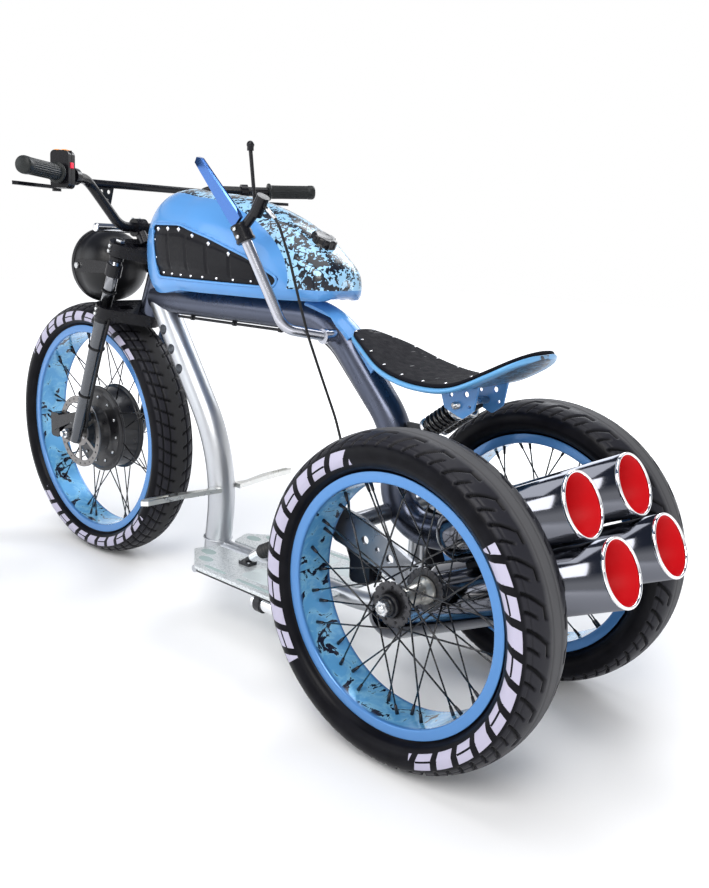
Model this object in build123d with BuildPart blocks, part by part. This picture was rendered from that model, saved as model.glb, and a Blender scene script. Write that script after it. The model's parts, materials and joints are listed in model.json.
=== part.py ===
"""Motorized trike: one wheel in front in a raked double-crown fork, two smaller wheels behind.

Millimetres. X points to the rider's left, Y to the rear and Z up. The origin is on the floor,
halfway along the trike and on its centre plane.
"""

import math
import os

from build123d import *

os.makedirs("parts", exist_ok=True)

# ---------------------------------------------------------------- driving dimensions
wheelbase = 1158        # front axle to rear axles
rear_track = 425        # between the rear rims' middle planes
running_gap = 0.06      # all round, between an axle and the hub that turns on it
seat_gap = 0.3          # between pieces that lie on each other

# wheels: outer radius of the tyre, radius of the rim's lip, widths of tyre and rim
front_tyre_r, front_lip_r, front_tyre_w = 320, 264, 108
rear_tyre_r, rear_lip_r, rear_tyre_w = 271, 210, 116
rim_w = 80
rim_depth = 18          # from the lip down to the rim's inner face
spoke_d = 3
spoke_pairs = 9         # leading and trailing spokes on each flange
axle_r = 7

# steering
rake = 23.2             # the steering axis leans back, degrees from upright
axle_offset = 68.4      # front axle ahead of the steering axis, square to it
axle_drop = 432         # head's middle above the front axle, along the steering axis
leg_offset = 40         # fork legs ahead of the steering axis
leg_x = 95              # fork legs from the centre plane
leg_r, sleeve_r = 13, 17
head_length = 124

# frame
frame_tube_r = 31
backbone_z = 668
down_tube_r = 30
rail_r = 19
rail_z = 124

# exhaust cans, 2 over 2
can_r, can_tip_r, can_wall = 49, 52.5, 4.5   # the last 200 mm widen to the tip
can_x = 86
can_slope = 25          # degrees, rising to the rear
can_tips = {"upper": (225, 453, 262), "lower": (295, 368, 488)}   # behind the axle, height, length

# ---------------------------------------------------------------- places that follow from them
rise, run = math.sin(math.radians(can_slope)), math.cos(math.radians(can_slope))
can_reach = can_tips["lower"][0] + can_tip_r * rise
rear_axle_y = (wheelbase + front_tyre_r - can_reach) / 2
front_axle_y = rear_axle_y - wheelbase
rear_x = rear_track / 2

lean_s, lean_c = math.sin(math.radians(rake)), math.cos(math.radians(rake))
head_y = front_axle_y + axle_offset * lean_c + axle_drop * lean_s
head_z = front_tyre_r - axle_offset * lean_s + axle_drop * lean_c
# the steering frame: Z up the steering axis, X to the left, -Y forward
steering = Plane(origin=(0, head_y, head_z), x_dir=(1, 0, 0), z_dir=(0, lean_s, lean_c))


def on_axis(z):
    """Y of the steering axis at height z."""
    return head_y - (head_z - z) * lean_s / lean_c


def in_steering(x, forward, up):
    """A point given from the head's middle: left, ahead of and up along the steering axis."""
    return steering.from_local_coords((x, -forward, up))


def round_bar(points, bends, radius):
    """A round bar or tube along straight runs joined by arcs."""
    with BuildPart() as bar:
        with BuildLine() as path:
            FilletPolyline(*points, radius=bends)
        with BuildSketch(Plane(origin=path.line @ 0, z_dir=path.line % 0)):
            Circle(radius)
        sweep(path=path.line)
    return bar.part


def post(start, end, radius, end_radius=None, bore=None):
    """A straight round post from start to end, tapered to end_radius, with a bore through it."""
    start, end = Vector(*start), Vector(*end)
    along = end - start
    with BuildPart() as bar:
        with BuildSketch(Plane(origin=start, z_dir=along)):
            Circle(radius)
        if end_radius is None:
            extrude(amount=along.length)
        else:
            with BuildSketch(Plane(origin=end, z_dir=along)):
                Circle(end_radius)
            loft()
        if bore:
            with BuildSketch(Plane(origin=start, z_dir=along)):
                Circle(bore)
            extrude(amount=along.length, mode=Mode.SUBTRACT)
    return bar.part


def slab(plane, outline, thickness, holes=(), corner=0):
    """A flat plate on a plane: outline points, holes as (x, y, radius) and rounded corners."""
    with BuildPart() as plate:
        with BuildSketch(plane) as face:
            with BuildLine():
                Polyline(*outline, close=True)
            make_face()
            if corner:
                fillet(face.vertices(), corner)
            for x, y, radius in holes:
                with Locations((x, y)):
                    Circle(radius, mode=Mode.SUBTRACT)
        extrude(amount=thickness)
    return plate.part


# ================================================================ wheels
# name, centre x, centre y, tyre radius, lip radius, tyre width
wheels = [
    ("front", 0, front_axle_y, front_tyre_r, front_lip_r, front_tyre_w),
    ("rear_left", rear_x, rear_axle_y, rear_tyre_r, rear_lip_r, rear_tyre_w),
    ("rear_right", -rear_x, rear_axle_y, rear_tyre_r, rear_lip_r, rear_tyre_w),
]
# front hub motor, from the wheel's middle plane; a plus is to the left
motor_r, motor_left, motor_right = 110, 18, -52
disc_r, disc_x, disc_t = 90, 66, 3
# rear hubs, measured outward from the rim's middle plane
hub_outer, hub_inner = 24, -61
hub_flange_r, flange_t, barrel_r = 37, 4, 17
hub_cap_r, hub_cap = 16, 44
tyre_seat = 8           # the tyre's bead sits this far below the lip
lip_t = 3

for name, wx, wy, tyre_r, lip_r, tyre_w in wheels:
    front = name == "front"
    section = Plane(origin=(wx, wy, tyre_r), x_dir=(1, 0, 0), z_dir=(0, -1, 0))
    axle_line = Axis((wx, wy, tyre_r), (1, 0, 0))
    bead_w = rim_w / 2 - lip_t - seat_gap
    seat_r = lip_r - tyre_seat + seat_gap
    side_r = lip_r + 0.42 * (tyre_r - lip_r)
    shoulder_r = lip_r + 0.84 * (tyre_r - lip_r)

    with BuildPart() as tyre:
        with BuildSketch(section):
            with BuildLine():
                Polyline((-0.37 * tyre_w, shoulder_r + 2), (-tyre_w / 2, side_r), (-bead_w, lip_r + 3),
                         (-bead_w, seat_r), (bead_w, seat_r), (bead_w, lip_r + 3),
                         (tyre_w / 2, side_r), (0.37 * tyre_w, shoulder_r + 2))
                ThreePointArc((0.37 * tyre_w, shoulder_r + 2), (0, tyre_r), (-0.37 * tyre_w, shoulder_r + 2))
            make_face()
        revolve(axis=axle_line)
    tyre.part.label = f"{name}_tyre"
    export_step(tyre.part, f"parts/{name}_tyre.step")

    half, well = rim_w / 2, 0.32 * rim_w
    with BuildPart() as rim:
        with BuildSketch(section):
            with BuildLine():
                Polyline((-half, lip_r), (lip_t - half, lip_r), (lip_t - half, lip_r - tyre_seat),
                         (-well, lip_r - tyre_seat), (4 - well, lip_r - 13), (well - 4, lip_r - 13),
                         (well, lip_r - tyre_seat), (half - lip_t, lip_r - tyre_seat),
                         (half - lip_t, lip_r), (half, lip_r), (half, lip_r - 10),
                         (half - 6, lip_r - rim_depth), (6 - half, lip_r - rim_depth),
                         (-half, lip_r - 10), close=True)
            make_face()
        revolve(axis=axle_line)
    rim.part.label = f"{name}_rim"
    export_step(rim.part, f"parts/{name}_rim.step")

    # flanges: place across the wheel, radius of the spoke heads, which side of the rim they pull to
    outward = 1 if wx >= 0 else -1
    if front:
        flanges = [(motor_left - 7.5, motor_r + 0.9, 1), (motor_right + 7.5, motor_r + 0.9, -1)]
    else:
        flanges = [(outward * (hub_outer + flange_t / 2), hub_flange_r + 1.9, outward),
                   (outward * (hub_inner + flange_t / 2), hub_flange_r + 1.9, -outward)]
    step = 360 / (2 * spoke_pairs)
    reach_r = lip_r - rim_depth - 2 * seat_gap
    with BuildPart() as spokes:
        for turn, (flange_x, head_r, pull) in enumerate(flanges):
            for spoke in range(2 * spoke_pairs):
                leading = 1 if spoke % 2 else -1
                head_angle = math.radians(step * spoke + step / 2 * turn)
                # crossed lacing: each spoke leaves its flange close to a tangent
                sweep_angle = 12 if front else 62
                rim_angle = head_angle + math.radians(leading * sweep_angle)
                head = (wx + flange_x + leading * 3.4, wy + head_r * math.sin(head_angle),
                        tyre_r + head_r * math.cos(head_angle))
                tip = (wx + pull * 9 + leading * 3, wy + reach_r * math.sin(rim_angle),
                       tyre_r + reach_r * math.cos(rim_angle))
                along = Vector(*tip) - Vector(*head)
                with BuildSketch(Plane(origin=head, z_dir=along)):
                    RegularPolygon(spoke_d / 2, 6)
                extrude(amount=along.length)
    spokes.part.label = f"{name}_spokes"
    export_step(spokes.part, f"parts/{name}_spokes.step")

    with BuildPart() as hub:
        with BuildSketch(section):
            with BuildLine():
                bore = axle_r + running_gap
                if front:
                    Polyline((motor_right - 8, bore), (motor_right - 8, 30), (motor_right, 40),
                             (motor_right, motor_r - 14), (motor_right + 5, motor_r - 6),
                             (motor_right + 5, motor_r), (motor_right + 10, motor_r),
                             (motor_right + 14, motor_r - 8), (motor_left - 14, motor_r - 8),
                             (motor_left - 10, motor_r), (motor_left - 5, motor_r),
                             (motor_left - 5, motor_r - 6), (motor_left, motor_r - 14),
                             (motor_left, 60), (motor_left + 12, 46), (disc_x - 18, 34),
                             (disc_x - seat_gap, 34), (disc_x - seat_gap, bore), close=True)
                else:
                    s = outward
                    Polyline((s * hub_inner, bore), (s * hub_inner, hub_flange_r),
                             (s * (hub_inner + flange_t), hub_flange_r), (s * (hub_inner + flange_t), 24),
                             (s * (hub_inner + 20), barrel_r), (s * (hub_outer - 14), barrel_r),
                             (s * hub_outer, 22), (s * hub_outer, hub_flange_r),
                             (s * (hub_outer + flange_t), hub_flange_r),
                             (s * (hub_outer + flange_t), hub_cap_r + 3),
                             (s * (hub_outer + 12), hub_cap_r + 3), (s * (hub_outer + 12), hub_cap_r),
                             (s * hub_cap, hub_cap_r - 3), (s * hub_cap, bore), close=True)
            make_face()
        revolve(axis=axle_line)
        if not front:
            # lightening holes and edge notches through both flanges
            with BuildSketch(Plane(origin=(wx + outward * (hub_inner - 1), wy, tyre_r), z_dir=(outward, 0, 0))):
                with PolarLocations(hub_flange_r - 8, 6):
                    Circle(3.2)
            extrude(amount=hub_outer - hub_inner + flange_t + 2, mode=Mode.SUBTRACT)
    hub.part.label = f"{name}_hub"
    export_step(hub.part, f"parts/{name}_hub.step")

# front brake disc: a slotted ring on a six-armed spider
with BuildPart() as disc:
    with BuildSketch(Plane(origin=(disc_x, front_axle_y, front_tyre_r), z_dir=(1, 0, 0))):
        Circle(disc_r)
        Circle(disc_r - 16, mode=Mode.SUBTRACT)
        Circle(36)
        with PolarLocations((disc_r - 12 + 30) / 2, 6):
            Rectangle(disc_r - 40, 9)
        Circle(axle_r + 2, mode=Mode.SUBTRACT)
        with PolarLocations(disc_r - 8, 24):
            Circle(2.6, mode=Mode.SUBTRACT)
    extrude(amount=disc_t)
disc.part.label = "front_disc"
export_step(disc.part, "parts/front_disc.step")

# ================================================================ frame
def behind(x, from_axle, z):
    """A point given from the rear axle: left, to the rear of it, and above the floor."""
    return (x, rear_axle_y + from_axle, z)


# head tube with a bore for the fork's stem
stem_r, head_r = 15, 26
head_bottom, head_top = in_steering(0, 0, -head_length / 2), in_steering(0, 0, head_length / 2)
head_core = post(head_bottom, head_top, head_r)
with BuildPart() as head_tube:
    add(post(head_bottom, head_top, head_r, bore=stem_r + running_gap))
head_tube.part.label = "head_tube"
export_step(head_tube.part, "parts/head_tube.step")

# one large tube: backbone, bend down behind the tank, upright, and tail between the cans
backbone_start = (0, on_axis(backbone_z) + 18, backbone_z)
seat_bend, post_top = behind(0, -365, backbone_z), behind(0, -190, 478)
post_foot, tail_end = behind(0, -190, 304), behind(0, 4, 316)
with BuildPart() as backbone_tube:
    add(round_bar([backbone_start, seat_bend, post_top, post_foot, tail_end],
                  [170, 150, 75], frame_tube_r))
    add(head_core, mode=Mode.SUBTRACT)
backbone_tube.part.label = "backbone_tube"
export_step(backbone_tube.part, "parts/backbone_tube.step")

# down tube: leaves the backbone behind the head and curves to the foot; three through holes
down_top = (0, on_axis(backbone_z + 22) + 4, backbone_z + 22)
down_bend, down_foot = behind(0, -675, 330), behind(0, -704, rail_z - 20)
down_run = math.dist(down_top, down_bend)
with BuildPart() as down_tube:
    add(round_bar([down_top, down_bend, down_foot], [350], down_tube_r))
    with BuildSketch(Plane.YZ):
        for along in (107, 157, 207):
            share = along / down_run
            with Locations((down_top[1] + share * (down_bend[1] - down_top[1]),
                            down_top[2] + share * (down_bend[2] - down_top[2]))):
                Circle(11.5)
    extrude(amount=down_tube_r + 5, both=True, mode=Mode.SUBTRACT)
    add(backbone_tube.part, mode=Mode.SUBTRACT)
    add(head_core, mode=Mode.SUBTRACT)
    # what is left of the tube's start above the backbone goes
    with BuildSketch(Plane.XY.offset(backbone_z)):
        with Locations((0, on_axis(backbone_z))):
            Rectangle(200, 200)
    extrude(amount=100, mode=Mode.SUBTRACT)
down_tube.part.label = "down_tube"
export_step(down_tube.part, "parts/down_tube.step")

# lower rail from the down tube's foot to a riser under the tail
rail_start, rail_bend, rail_end = behind(0, -700, rail_z), behind(0, -250, rail_z), behind(0, -112, 158)
with BuildPart() as lower_rail:
    add(round_bar([rail_start, rail_bend, rail_end], [400], rail_r))
    add(post(behind(0, -136, 152), behind(0, -136, 300), 16))
    for back in (-620, -330):
        # cross bars that carry the footboards
        add(post(behind(-132, back, rail_z), behind(132, back, rail_z), 8))
    add(down_tube.part, mode=Mode.SUBTRACT)
    add(backbone_tube.part, mode=Mode.SUBTRACT)
lower_rail.part.label = "lower_rail"
export_step(lower_rail.part, "parts/lower_rail.step")

# axle carriers: a cross tube through the upright, and a plate down to each rear axle
plate_x, plate_t = 137, 7
cross_y, cross_z, cross_r = -190, 330, 16
with BuildPart() as axle_carrier:
    add(post(behind(-plate_x, cross_y, cross_z), behind(plate_x, cross_y, cross_z), cross_r))
    for side in (1, -1):
        plane = Plane(origin=behind(side * (plate_x + (0 if side > 0 else plate_t)), 0, 0), x_dir=(0, 1, 0),
                      z_dir=(1, 0, 0))
        slots = [(-140, 316, 8), (-112, 306, 5), (-84, 297, 8)]
        add(slab(plane, [(cross_y - 26, cross_z - 30), (cross_y + 40, cross_z - 44), (-26, rear_tyre_r - 24),
                         (26, rear_tyre_r - 22), (26, rear_tyre_r + 20), (-20, rear_tyre_r + 26),
                         (cross_y + 44, cross_z + 24), (cross_y - 20, cross_z + 34)],
                 plate_t, slots, 10))
    for side in (1, -1):
        # each axle is a pin fixed in its plate, with a nut outside the hub
        tip = rear_x + hub_cap + 4
        add(post(behind(side * (plate_x + plate_t / 2), 0, rear_tyre_r), behind(side * tip, 0, rear_tyre_r), axle_r))
        plane = Plane(origin=behind(side * (rear_x + hub_cap + seat_gap), 0, rear_tyre_r), z_dir=(side, 0, 0))
        with BuildSketch(plane):
            RegularPolygon(12, 6)
        extrude(amount=8)
        add(post(behind(side * (plate_x + plate_t / 2), 0, rear_tyre_r),
                 behind(side * (rear_x + hub_inner - seat_gap), 0, rear_tyre_r), 13))
    add(backbone_tube.part, mode=Mode.SUBTRACT)
axle_carrier.part.label = "axle_carrier"
export_step(axle_carrier.part, "parts/axle_carrier.step")

# ---------------------------------------------------------------- exhaust cans
liner_depth, liner_t = 120, 1.5
with BuildPart() as exhaust_cans:
    for side in (1, -1):
        for row, (back, height, length) in can_tips.items():
            tip = Vector(*behind(side * can_x, back, height))
            line = Vector(0, run, rise)
            nose = tip - line * length
            profile = Plane(origin=nose, x_dir=(1, 0, 0), z_dir=(0, -rise, run))
            inner = can_tip_r - can_wall
            with BuildSketch(profile):
                with BuildLine():
                    Polyline((0, 0), (can_r - 22, 0), (can_r, 30), (can_r, length - 200),
                             (can_tip_r, length), (inner, length),
                             (inner, length - liner_depth), (0, length - liner_depth), close=True)
                make_face()
            revolve(axis=Axis(nose, line))
exhaust_cans.part.label = "exhaust_cans"
export_step(exhaust_cans.part, "parts/exhaust_cans.step")

with BuildPart() as can_liners:
    for side in (1, -1):
        for row, (back, height, length) in can_tips.items():
            line = Vector(0, run, rise)
            floor = Vector(*behind(side * can_x, back, height)) - line * liner_depth
            outer = can_tip_r - can_wall
            with BuildSketch(Plane(origin=floor, z_dir=line)):
                Circle(outer)
            extrude(amount=liner_depth - 6)
            with BuildSketch(Plane(origin=floor + line * liner_t, z_dir=line)):
                Circle(outer - liner_t)
            extrude(amount=liner_depth, mode=Mode.SUBTRACT)
can_liners.part.label = "can_liners"
export_step(can_liners.part, "parts/can_liners.step")

# plate square to the cans: holds all four and closes the end of the tail
with BuildPart() as can_plate:
    middle = Vector(*behind(0, 6, 318))
    plane = Plane(origin=middle, x_dir=(1, 0, 0), z_dir=(0, run, rise))
    add(slab(plane, [(-66, -58), (66, -58), (66, 58), (-66, 58)], 5, corner=12))
    add(exhaust_cans.part, mode=Mode.SUBTRACT)
    add(backbone_tube.part, mode=Mode.SUBTRACT)
can_plate.part.label = "can_plate"
export_step(can_plate.part, "parts/can_plate.step")

# ---------------------------------------------------------------- tank
# sections from nose to tail: behind the axle, bottom, top, half width
tank_sections = [
    (-872, 742, 858, 50),
    (-835, 704, 892, 84),
    (-700, 700, 900, 116),
    (-560, 700, 882, 113),
    (-420, 700, 826, 84),
    (-335, 702, 766, 46),
]
recess, leather_low = 5, 2
clamp_swing, clamp_swing_top = 35, 108   # behind the steering axis, above the head's middle


def tank_body(inset):
    """The tank's shell as a loft, every section smaller all round by inset."""
    with BuildPart() as body:
        for back, bottom, top, half in tank_sections:
            half, bottom, top = half - inset, bottom + inset, top - inset
            tall = top - bottom
            # +x of the section points right, so the sketch is mirrored and stays symmetric
            with BuildSketch(Plane(origin=behind(0, back, bottom), x_dir=(1, 0, 0), z_dir=(0, -1, 0))):
                with BuildLine():
                    Polyline((-0.94 * half, 0.62 * tall), (-half, 0.3 * tall), (-0.86 * half, 0),
                             (0.86 * half, 0), (half, 0.3 * tall), (0.94 * half, 0.62 * tall))
                    ThreePointArc((0.94 * half, 0.62 * tall), (0, tall), (-0.94 * half, 0.62 * tall))
                make_face()
        loft()
    return body.part


tank_shape = tank_body(0)
with BuildPart() as panel_zone:
    with BuildSketch(Plane.YZ):
        with BuildLine():
            Polyline(*[behind(0, back, height)[1:] for back, height in
                       [(-806, 832), (-770, 724), (-440, 722), (-428, 740), (-500, 776), (-600, 808),
                        (-700, 832)]], close=True)
        make_face()
    extrude(amount=200, both=True)
    add(tank_body(recess), mode=Mode.SUBTRACT)
with BuildPart() as tank:
    add(tank_shape)
    add(panel_zone.part, mode=Mode.SUBTRACT)
    add(backbone_tube.part, mode=Mode.SUBTRACT)
    # the nose is cut back where the fork's clamps turn
    with BuildSketch(steering.offset(-60)):
        with Locations((0, clamp_swing - 50)):
            Rectangle(200, 100)
    extrude(amount=clamp_swing_top + 60, mode=Mode.SUBTRACT)
tank.part.label = "tank"
export_step(tank.part, "parts/tank.step")

with BuildPart() as tank_panels:
    add(tank_body(leather_low))
    add(panel_zone.part, mode=Mode.INTERSECT)
tank_panels.part.label = "tank_panels"
export_step(tank_panels.part, "parts/tank_panels.step")

cap_back, cap_tilt = -400, 28
with BuildPart() as tank_cap:
    seat = Plane(origin=behind(0, cap_back, 806), x_dir=(1, 0, 0),
                 z_dir=(0, math.sin(math.radians(cap_tilt)), math.cos(math.radians(cap_tilt))))
    with BuildSketch(seat.offset(-14)):
        Circle(27)
    extrude(amount=26)
    fillet(tank_cap.faces().sort_by(Axis.Z)[-1].edges(), 4)
    with BuildSketch(seat.offset(8)):
        with PolarLocations(30, 6):
            Circle(6)
    extrude(amount=10, mode=Mode.SUBTRACT)
    add(tank_shape, mode=Mode.SUBTRACT)
tank_cap.part.label = "tank_cap"
export_step(tank_cap.part, "parts/tank_cap.step")

# tab that clamps the tank's tail to the tube, wrapped round the tube's upper half
with BuildPart() as tank_saddle:
    add(round_bar([behind(0, -460, backbone_z), seat_bend, post_top], [170], frame_tube_r + 5))
    add(backbone_tube.part, mode=Mode.SUBTRACT)
    with BuildSketch(Plane.YZ):
        with BuildLine():
            Polyline(*[behind(0, back, height)[1:] for back, height in
                       [(-420, 690), (-420, 720), (-352, 720), (-280, 660), (-310, 630), (-350, 672)]], close=True)
        make_face()
    extrude(amount=24, both=True, mode=Mode.INTERSECT)
    add(tank_shape, mode=Mode.SUBTRACT)
tank_saddle.part.label = "tank_saddle"
export_step(tank_saddle.part, "parts/tank_saddle.step")

# ---------------------------------------------------------------- seat
# side profile of the pan's top, nose to tail; a curved board with both ends kicked up
seat_line = [(-292, 648), (-240, 630), (-160, 598), (-90, 586), (-20, 592), (40, 620), (92, 652)]
seat_half, nose_half, pan_t, pad_t = 98, 40, 9, 7


def seat_layer(low, high, inset):
    """A layer of the seat between two heights above the profile, cut to its plan."""
    with BuildPart() as layer:
        with BuildSketch(Plane.YZ):
            with BuildLine():
                upper = Spline(*[(rear_axle_y + back, height + high) for back, height in seat_line])
                lower = Spline(*[(rear_axle_y + back, height + low) for back, height in seat_line])
                Line(upper @ 0, lower @ 0)
                Line(upper @ 1, lower @ 1)
            make_face()
        extrude(amount=seat_half + 10, both=True)
        with BuildSketch(Plane.XY.offset(500)) as plan:
            with BuildLine():
                Polyline(*[(side * (half - inset), rear_axle_y + back) for side, back, half in
                           [(1, -296 + inset, nose_half - 14), (1, -280, nose_half), (1, -190, seat_half - 8),
                            (1, -120, seat_half), (1, 10, seat_half), (1, 70, seat_half - 20),
                            (1, 90 - inset, seat_half - 50), (-1, 90 - inset, seat_half - 50),
                            (-1, 70, seat_half - 20), (-1, 10, seat_half), (-1, -120, seat_half),
                            (-1, -190, seat_half - 8), (-1, -280, nose_half), (-1, -296 + inset, nose_half - 14)]],
                         close=True)
            make_face()
            fillet(plan.vertices(), 11)
        extrude(amount=250, mode=Mode.INTERSECT)
    return layer.part


with BuildPart() as seat_pan:
    add(seat_layer(-pan_t, 0, 0))
seat_pan.part.label = "seat_pan"
export_step(seat_pan.part, "parts/seat_pan.step")

with BuildPart() as seat_pad:
    add(seat_layer(0, pad_t, 4))
seat_pad.part.label = "seat_pad"
export_step(seat_pad.part, "parts/seat_pad.step")

# hinge under the seat's nose: two ears on the tube and a pin
with BuildPart() as seat_hinge:
    for side in (1, -1):
        plane = Plane(origin=behind(side * 16 - 3, 0, 0), x_dir=(0, 1, 0), z_dir=(1, 0, 0))
        add(slab(plane, [(-318, 610), (-262, 560), (-238, 596), (-262, 633), (-290, 642)], 6, corner=5))
    add(post(behind(-22, -268, 616), behind(22, -268, 616), 5))
    add(backbone_tube.part, mode=Mode.SUBTRACT)
    add(seat_pan.part, mode=Mode.SUBTRACT)
seat_hinge.part.label = "seat_hinge"
export_step(seat_hinge.part, "parts/seat_hinge.step")

# rear bracket: two drilled plates under the seat with a cross pin that the springs push on
pin_back, pin_z, shock_x = -36, 556, 21
with BuildPart() as seat_bracket:
    for side in (1, -1):
        plane = Plane(origin=behind(side * 44 - 2.5, 0, 0), x_dir=(0, 1, 0), z_dir=(1, 0, 0))
        add(slab(plane, [(-74, 582), (-62, 548), (-24, 534), (-4, 550), (4, 598)], 5,
                 [(pin_back, pin_z, 4.5), (-50, 572, 4), (-20, 576, 5), (-12, 556, 3)], 6))
    add(post(behind(-48, pin_back, pin_z), behind(48, pin_back, pin_z), 5.5))
    add(seat_layer(-pan_t, 100, -12), mode=Mode.SUBTRACT)
seat_bracket.part.label = "seat_bracket"
export_step(seat_bracket.part, "parts/seat_bracket.step")

# twin coil shocks between the upright and the cross pin
shock_low, shock_high = (-128, 488), (pin_back, pin_z)
coil_r, wire_r, turns = 15, 2.5, 6
with BuildPart() as seat_shocks:
    for side in (1, -1):
        low, high = behind(side * shock_x, *shock_low), behind(side * shock_x, *shock_high)
        line = (Vector(*high) - Vector(*low)).normalized()
        add(post(low, Vector(*low) + line * 26, 9))
        add(post(low, Vector(*high) - line * 10, 5))
        add(post(Vector(*low) + line * 20, Vector(*low) + line * 24, 18.5))
        add(post(Vector(*high) - line * 24, Vector(*high) - line * 4, 11))
        add(post(Vector(*high) - line * 27, Vector(*high) - line * 23, 18.5))
        add(post(Vector(*low) - line * 8, Vector(*low), 7))
    lug = Plane(origin=behind(-3, 0, 0), x_dir=(0, 1, 0), z_dir=(1, 0, 0))
    add(post(behind(-32, *shock_low), behind(32, *shock_low), 5))
    add(slab(lug, [(-172, 500), (-172, 460), (-134, 478), (-118, 484), (-120, 496), (-136, 500)], 6))
    add(backbone_tube.part, mode=Mode.SUBTRACT)
    add(seat_bracket.part, mode=Mode.SUBTRACT)
seat_shocks.part.label = "seat_shocks"
export_step(seat_shocks.part, "parts/seat_shocks.step")

with BuildPart() as seat_springs:
    for side in (1, -1):
        low, high = Vector(*behind(side * shock_x, *shock_low)), Vector(*behind(side * shock_x, *shock_high))
        line = (high - low).normalized()
        start = low + line * (24 + seat_gap + wire_r)
        free = (high - low).length - 24 - 27 - 2 * (seat_gap + wire_r)
        with BuildLine() as coil:
            Helix(pitch=free / turns, height=free, radius=coil_r, center=start, direction=line)
        with BuildSketch(Plane(origin=coil.line @ 0, z_dir=coil.line % 0)):
            RegularPolygon(wire_r, 6)
        sweep(path=coil.line, is_frenet=True)
seat_springs.part.label = "seat_springs"
export_step(seat_springs.part, "parts/seat_springs.step")

# ---------------------------------------------------------------- footboards and pegs
board_top, board_t, board_lip = rail_z + 8 + 5, 5, 10
with BuildPart() as footboards:
    for side in (1, -1):
        outline = [(side * 24, -672), (side * 76, -690), (side * 142, -606), (side * 142, -296), (side * 24, -296)]
        plane = Plane(origin=behind(0, 0, board_top - board_t), x_dir=(1, 0, 0), z_dir=(0, 0, 1))
        add(slab(plane, outline, board_t, corner=8))
        # turned-down lip along the outer edge
        rim_plane = Plane(origin=behind(side * 140.5 - 1.5, 0, 0), x_dir=(0, 1, 0), z_dir=(1, 0, 0))
        add(slab(rim_plane, [(-596, board_top - board_lip), (-306, board_top - board_lip),
                             (-306, board_top - 1), (-596, board_top - 1)], 3))
    add(lower_rail.part, mode=Mode.SUBTRACT)
footboards.part.label = "footboards"
export_step(footboards.part, "parts/footboards.step")

peg_z, peg_back, peg_reach = 268, -668, 216
with BuildPart() as foot_pegs:
    for side in (1, -1):
        plane = Plane(origin=behind(0, 0, peg_z - 5), x_dir=(1, 0, 0), z_dir=(0, 0, 1))
        with BuildSketch(plane) as peg:
            with BuildLine():
                Polyline((side * 26, -656), (side * 60, -662), (side * 120, -672), (side * 205, -677),
                         (side * peg_reach, -688), (side * 205, -699), (side * 130, -694),
                         (side * 60, -676), (side * 26, -680), close=True)
            make_face()
            with Locations(Location((side * 176, -687, 0), -3 * side)):
                SlotOverall(56, 9, mode=Mode.SUBTRACT)
        extrude(amount=10)
    add(down_tube.part, mode=Mode.SUBTRACT)
foot_pegs.part.label = "foot_pegs"
export_step(foot_pegs.part, "parts/foot_pegs.step")

# foot pedal strut on the left board: clevis, cylinder and boot
strut_foot, strut_head = behind(52, -540, board_top + 8), behind(52, -462, board_top + 62)
with BuildPart() as pedal_strut:
    with BuildSketch(Plane(origin=behind(52, -540, board_top))):
        RectangleRounded(26, 34, 4)
    extrude(amount=6)
    along = (Vector(*strut_head) - Vector(*strut_foot)).normalized()
    add(post(strut_foot, strut_head, 7))
    add(post(Vector(*strut_foot) + along * 22, Vector(*strut_foot) + along * 52, 11))
    add(post(Vector(*strut_foot) + along * 52, strut_head, 14, 9))
    with BuildSketch(Plane.XY.offset(board_top - 60)):
        with Locations((52, rear_axle_y - 540)):
            Rectangle(90, 90)
    extrude(amount=60, mode=Mode.SUBTRACT)
    add(footboards.part, mode=Mode.SUBTRACT)
pedal_strut.part.label = "pedal_strut"
export_step(pedal_strut.part, "parts/pedal_strut.step")

# chrome canister slung under the left board by a black strap bracket
can_low_r, canister_z = 17, 95
with BuildPart() as canister:
    add(post(behind(100, -462, canister_z), behind(100, -300, canister_z), can_low_r))
    fillet(canister.edges().filter_by(GeomType.CIRCLE), 4)
canister.part.label = "canister"
export_step(canister.part, "parts/canister.step")

with BuildPart() as canister_straps:
    for back in (-440, -352):
        ring = post(behind(100, back - 8, canister_z), behind(100, back + 8, canister_z), can_low_r + 4)
        add(ring)
        with BuildSketch(Plane(origin=behind(100, back, canister_z))):
            Rectangle(30, 16)
        extrude(amount=board_top - board_t - seat_gap - canister_z)
    add(post(behind(100, -462, canister_z), behind(100, -250, canister_z), can_low_r), mode=Mode.SUBTRACT)
    add(footboards.part, mode=Mode.SUBTRACT)
canister_straps.part.label = "canister_straps"
export_step(canister_straps.part, "parts/canister_straps.step")

# rear brake caliper under the left carrier plate
with BuildPart() as rear_caliper:
    with BuildSketch(Plane(origin=behind(plate_x - seat_gap, -156, 252), x_dir=(0, 1, 0), z_dir=(-1, 0, 0))):
        RectangleRounded(46, 44, 10)
    extrude(amount=34)
    add(post(behind(plate_x - 18, -186, 246), behind(plate_x - 18, -126, 258), 9))
    # lug that bolts to the plate's inner face
    add(slab(Plane(origin=behind(plate_x - seat_gap - 8, 0, 0), x_dir=(0, 1, 0), z_dir=(1, 0, 0)),
             [(-176, 262), (-136, 262), (cross_y + 30, cross_z - 16), (cross_y - 10, cross_z - 16)], 8))
    add(axle_carrier.part, mode=Mode.SUBTRACT)
    add(exhaust_cans.part, mode=Mode.SUBTRACT)
rear_caliper.part.label = "rear_caliper"
export_step(rear_caliper.part, "parts/rear_caliper.step")

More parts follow.
